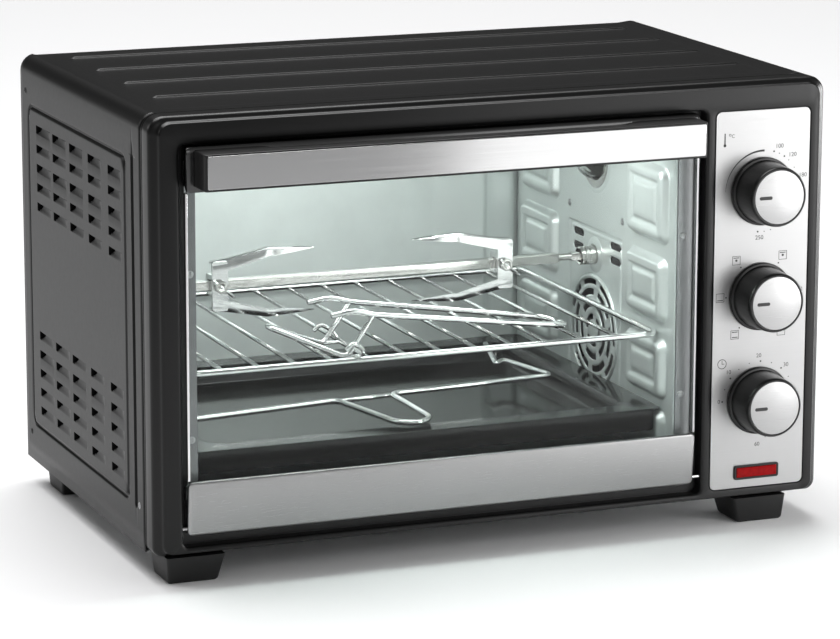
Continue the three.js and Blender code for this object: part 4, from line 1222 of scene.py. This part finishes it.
bars = []
for d in (23.6, -23.6):
    ends = [(155, TOOL_Y + d, LOW + 0.2), (168, TOOL_Y + d, LOW + 0.4)]
    bars.append(dict(points=ends, r=1.4, bend=1, sides=12))
tray_tool = tubes("tray_tool_wire", [
    mirrored(2.2, 12, 16, [
        (145, 24, 170.6), (162, 24, 173.2), (175, 23.5, 169), (322, 15, 148), (332, 7, 145.5)]),
    mirrored(1.9, 6, 14, [(176, 23.5, 168.5), (156, 24, LOW), (106, 4, 161)]),
    mirrored(1.6, 5, 14, [
        (152.5, 33, LOW + 8), (157.5, 33, LOW + 12.5), (165, 31, LOW + 8), (169, 25, LOW + 0.4)]),
    *bars,
], "tool", "tray_tool")
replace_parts(tray_tool, "tray_handle")
TRAY_LOW = 83.5 + 0.8 + 0.3 + 2.2  # wire centre of a tool that lies on the tray's rim


def lifter_at(u, v, lift=0.0):
    """Places on the spit lifter, which lies a little askew."""
    t = 0.11
    x = 203 + u * cos(t) + v * sin(t)
    return (x, 131 + u * sin(t) - v * cos(t), TRAY_LOW + lift)


lifter_wire = [
    (-148, -88, 6), (-134, -46), (-146, -58), (-154, 4), (-22, 0), (-14, 78), (0, 88), (14, 78), (22, 0),
    (157, 4), (149, -58), (137, -46), (151, -88, 6),
]
lifter = tubes("spit_tool_wire", [
    dict(points=[lifter_at(*p) for p in lifter_wire], r=2.2, bend=8, sides=16),
    dict(points=[lifter_at(-20, 3), lifter_at(20, 3)], r=1.8, bend=1, sides=14),
], "tool", "spit_tool")
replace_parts(lifter, "spit_lifter")

# ---- floor, light and camera -----------------------------------------------------------------------
def studio_floor():
    """An 18 m square of pale paper, just under the feet; its places are in metres."""
    bm = bmesh.new()
    n = 24
    steps = [18 * i / n for i in range(n + 1)]
    grid = [[bm.verts.new((-9 + across, -6 + along, -0.0002)) for along in steps] for across in steps]
    for i in range(n):
        for j in range(n):
            skin_grid(bm, grid, i, j)
    me = bpy.data.meshes.new("studio_floor")
    bm.to_mesh(me)
    bm.free()
    s = Shader("floor_paper", (0.9, 0.9, 0.905), 0.4, Specular_IOR_Level=0.25)
    # painted shade: the paper is darker well in front of the oven, so that the oven's front reflects less
    # light
    apart = s.nodes.new("ShaderNodeSeparateXYZ")
    s.links.new(s.coord.outputs["Object"], apart.inputs["Vector"])
    depth = set_inputs(s.nodes.new("ShaderNodeMapRange"), From_Min=-2.6, From_Max=-0.5)
    s.links.new(apart.outputs["Y"], depth.inputs["Value"])
    s.colour(s.ramp(depth.outputs["Result"], (0.42, 0.42, 0.425), (0.9, 0.9, 0.905), (0.0, 1.0)))
    s.bump(s.noise(3, detail=2), 0.0002, 0.05)
    me.materials.append(s.mat)
    o = bpy.data.objects.new("studio_floor", me)
    SCENE.collection.objects.link(o)


studio_floor()


def lamp(name, where, target, size, power, tint=(1, 1, 1), spread=180.0):
    """A soft rectangle of light at a place in metres, turned to its target."""
    data = bpy.data.lights.new(name, "AREA")
    data.shape = "RECTANGLE"
    data.size, data.size_y = size
    data.energy = power
    data.color = tint
    data.spread = radians(spread)
    o = bpy.data.objects.new(name, data)
    o.location = where
    o.rotation_euler = (Vector(target) - Vector(where)).to_track_quat("-Z", "Y").to_euler()
    SCENE.collection.objects.link(o)
    return o


sun = bpy.data.lights.new("overhead_sun", "SUN")
sun.energy = 2.5
sun.angle = radians(50)
sun_at = bpy.data.objects.new("overhead_sun", sun)
sun_at.rotation_euler = Vector((0.1, -0.45, -1.0)).to_track_quat("-Z", "Y").to_euler()
SCENE.collection.objects.link(sun_at)
for made in (
    lamp("softbox_front", (0.68, -0.92, 0.42), (0.68, 0.2, 0.3), (0.8, 0.84), 1.9, spread=110.0),
    lamp("softbox_edge", (0.78, -0.9, 0.42), (0.6, 0.2, 0.3), (0.2, 0.84), 1.8, spread=110.0),
    lamp("left_side", (-2.0, 1.6, 1.1), (0, 0, 0.2), (1.0, 0.8), 6),
    lamp("right_rim", (1.7, -0.25, 0.3), (0.2, -0.1, 0.2), (0.7, 0.5), 20),
    lamp("crest_light", (-0.1, 0.35, 2.4), (0, 0.1, 0.3), (2.4, 0.6), 22),
    lamp("rear_wash", (0.8, 2.6, 4.2), (0.8, 2.6, 0), (4.0, 1.6), 50),
    lamp("front_fill", (-0.6, -2.0, 1.3), (0, 0, 0.15), (1.2, 0.8), 3.5),
    lamp("cavity_light", P(215, 60, 296), P(215, 190, 60), (0.3, 0.07), 1.15, (0.97, 1.0, 0.99)),
):
    made.visible_camera = False
# the surroundings light the oven softly, more from the front, and look plain white to the camera
world = bpy.data.worlds.new("studio")
world.use_nodes = True
nodes, links = world.node_tree.nodes, world.node_tree.links
sky = set_inputs(nodes["Background"], Color=(1, 1, 1, 1))
direction = nodes.new("ShaderNodeTexCoord")
split = nodes.new("ShaderNodeSeparateXYZ")
links.new(direction.outputs["Generated"], split.inputs["Vector"])
fade = set_inputs(nodes.new("ShaderNodeMapRange"), From_Min=-0.9, From_Max=0.35, To_Min=0.3, To_Max=0.05)
links.new(split.outputs["Y"], fade.inputs["Value"])
links.new(fade.outputs["Result"], sky.inputs["Strength"])
white = set_inputs(nodes.new("ShaderNodeBackground"), Color=(1, 1, 1, 1), Strength=1.0)
path = nodes.new("ShaderNodeLightPath")
pick = nodes.new("ShaderNodeMixShader")
links.new(path.outputs["Is Camera Ray"], pick.inputs["Fac"])
links.new(sky.outputs["Background"], pick.inputs[1])
links.new(white.outputs["Background"], pick.inputs[2])
links.new(pick.outputs["Shader"], nodes["World Output"].inputs["Surface"])
SCENE.world = world

camera = bpy.data.cameras.new("camera")
camera.sensor_fit = "HORIZONTAL"
camera.sensor_width = 36.0
camera.lens = 164.17
camera.clip_start, camera.clip_end = 0.05, 30
eye = bpy.data.objects.new("camera", camera)
AZ, EL, ROLL = radians(-21.935), radians(12.476), radians(0.139)
back = Vector((sin(AZ) * cos(EL), -cos(AZ) * cos(EL), sin(EL)))
right = Vector((cos(AZ), sin(AZ), 0))
up = back.cross(right)
cam_x = right * cos(ROLL) + up * sin(ROLL)
cam_y = up * cos(ROLL) - right * sin(ROLL)
turn = Matrix((cam_x, cam_y, back)).transposed().to_4x4()
eye.matrix_world = Matrix.Translation((-1.0316, -2.5571, 0.7478)) @ turn
SCENE.collection.objects.link(eye)
SCENE.camera = eye
SCENE.view_settings.view_transform = "Standard"
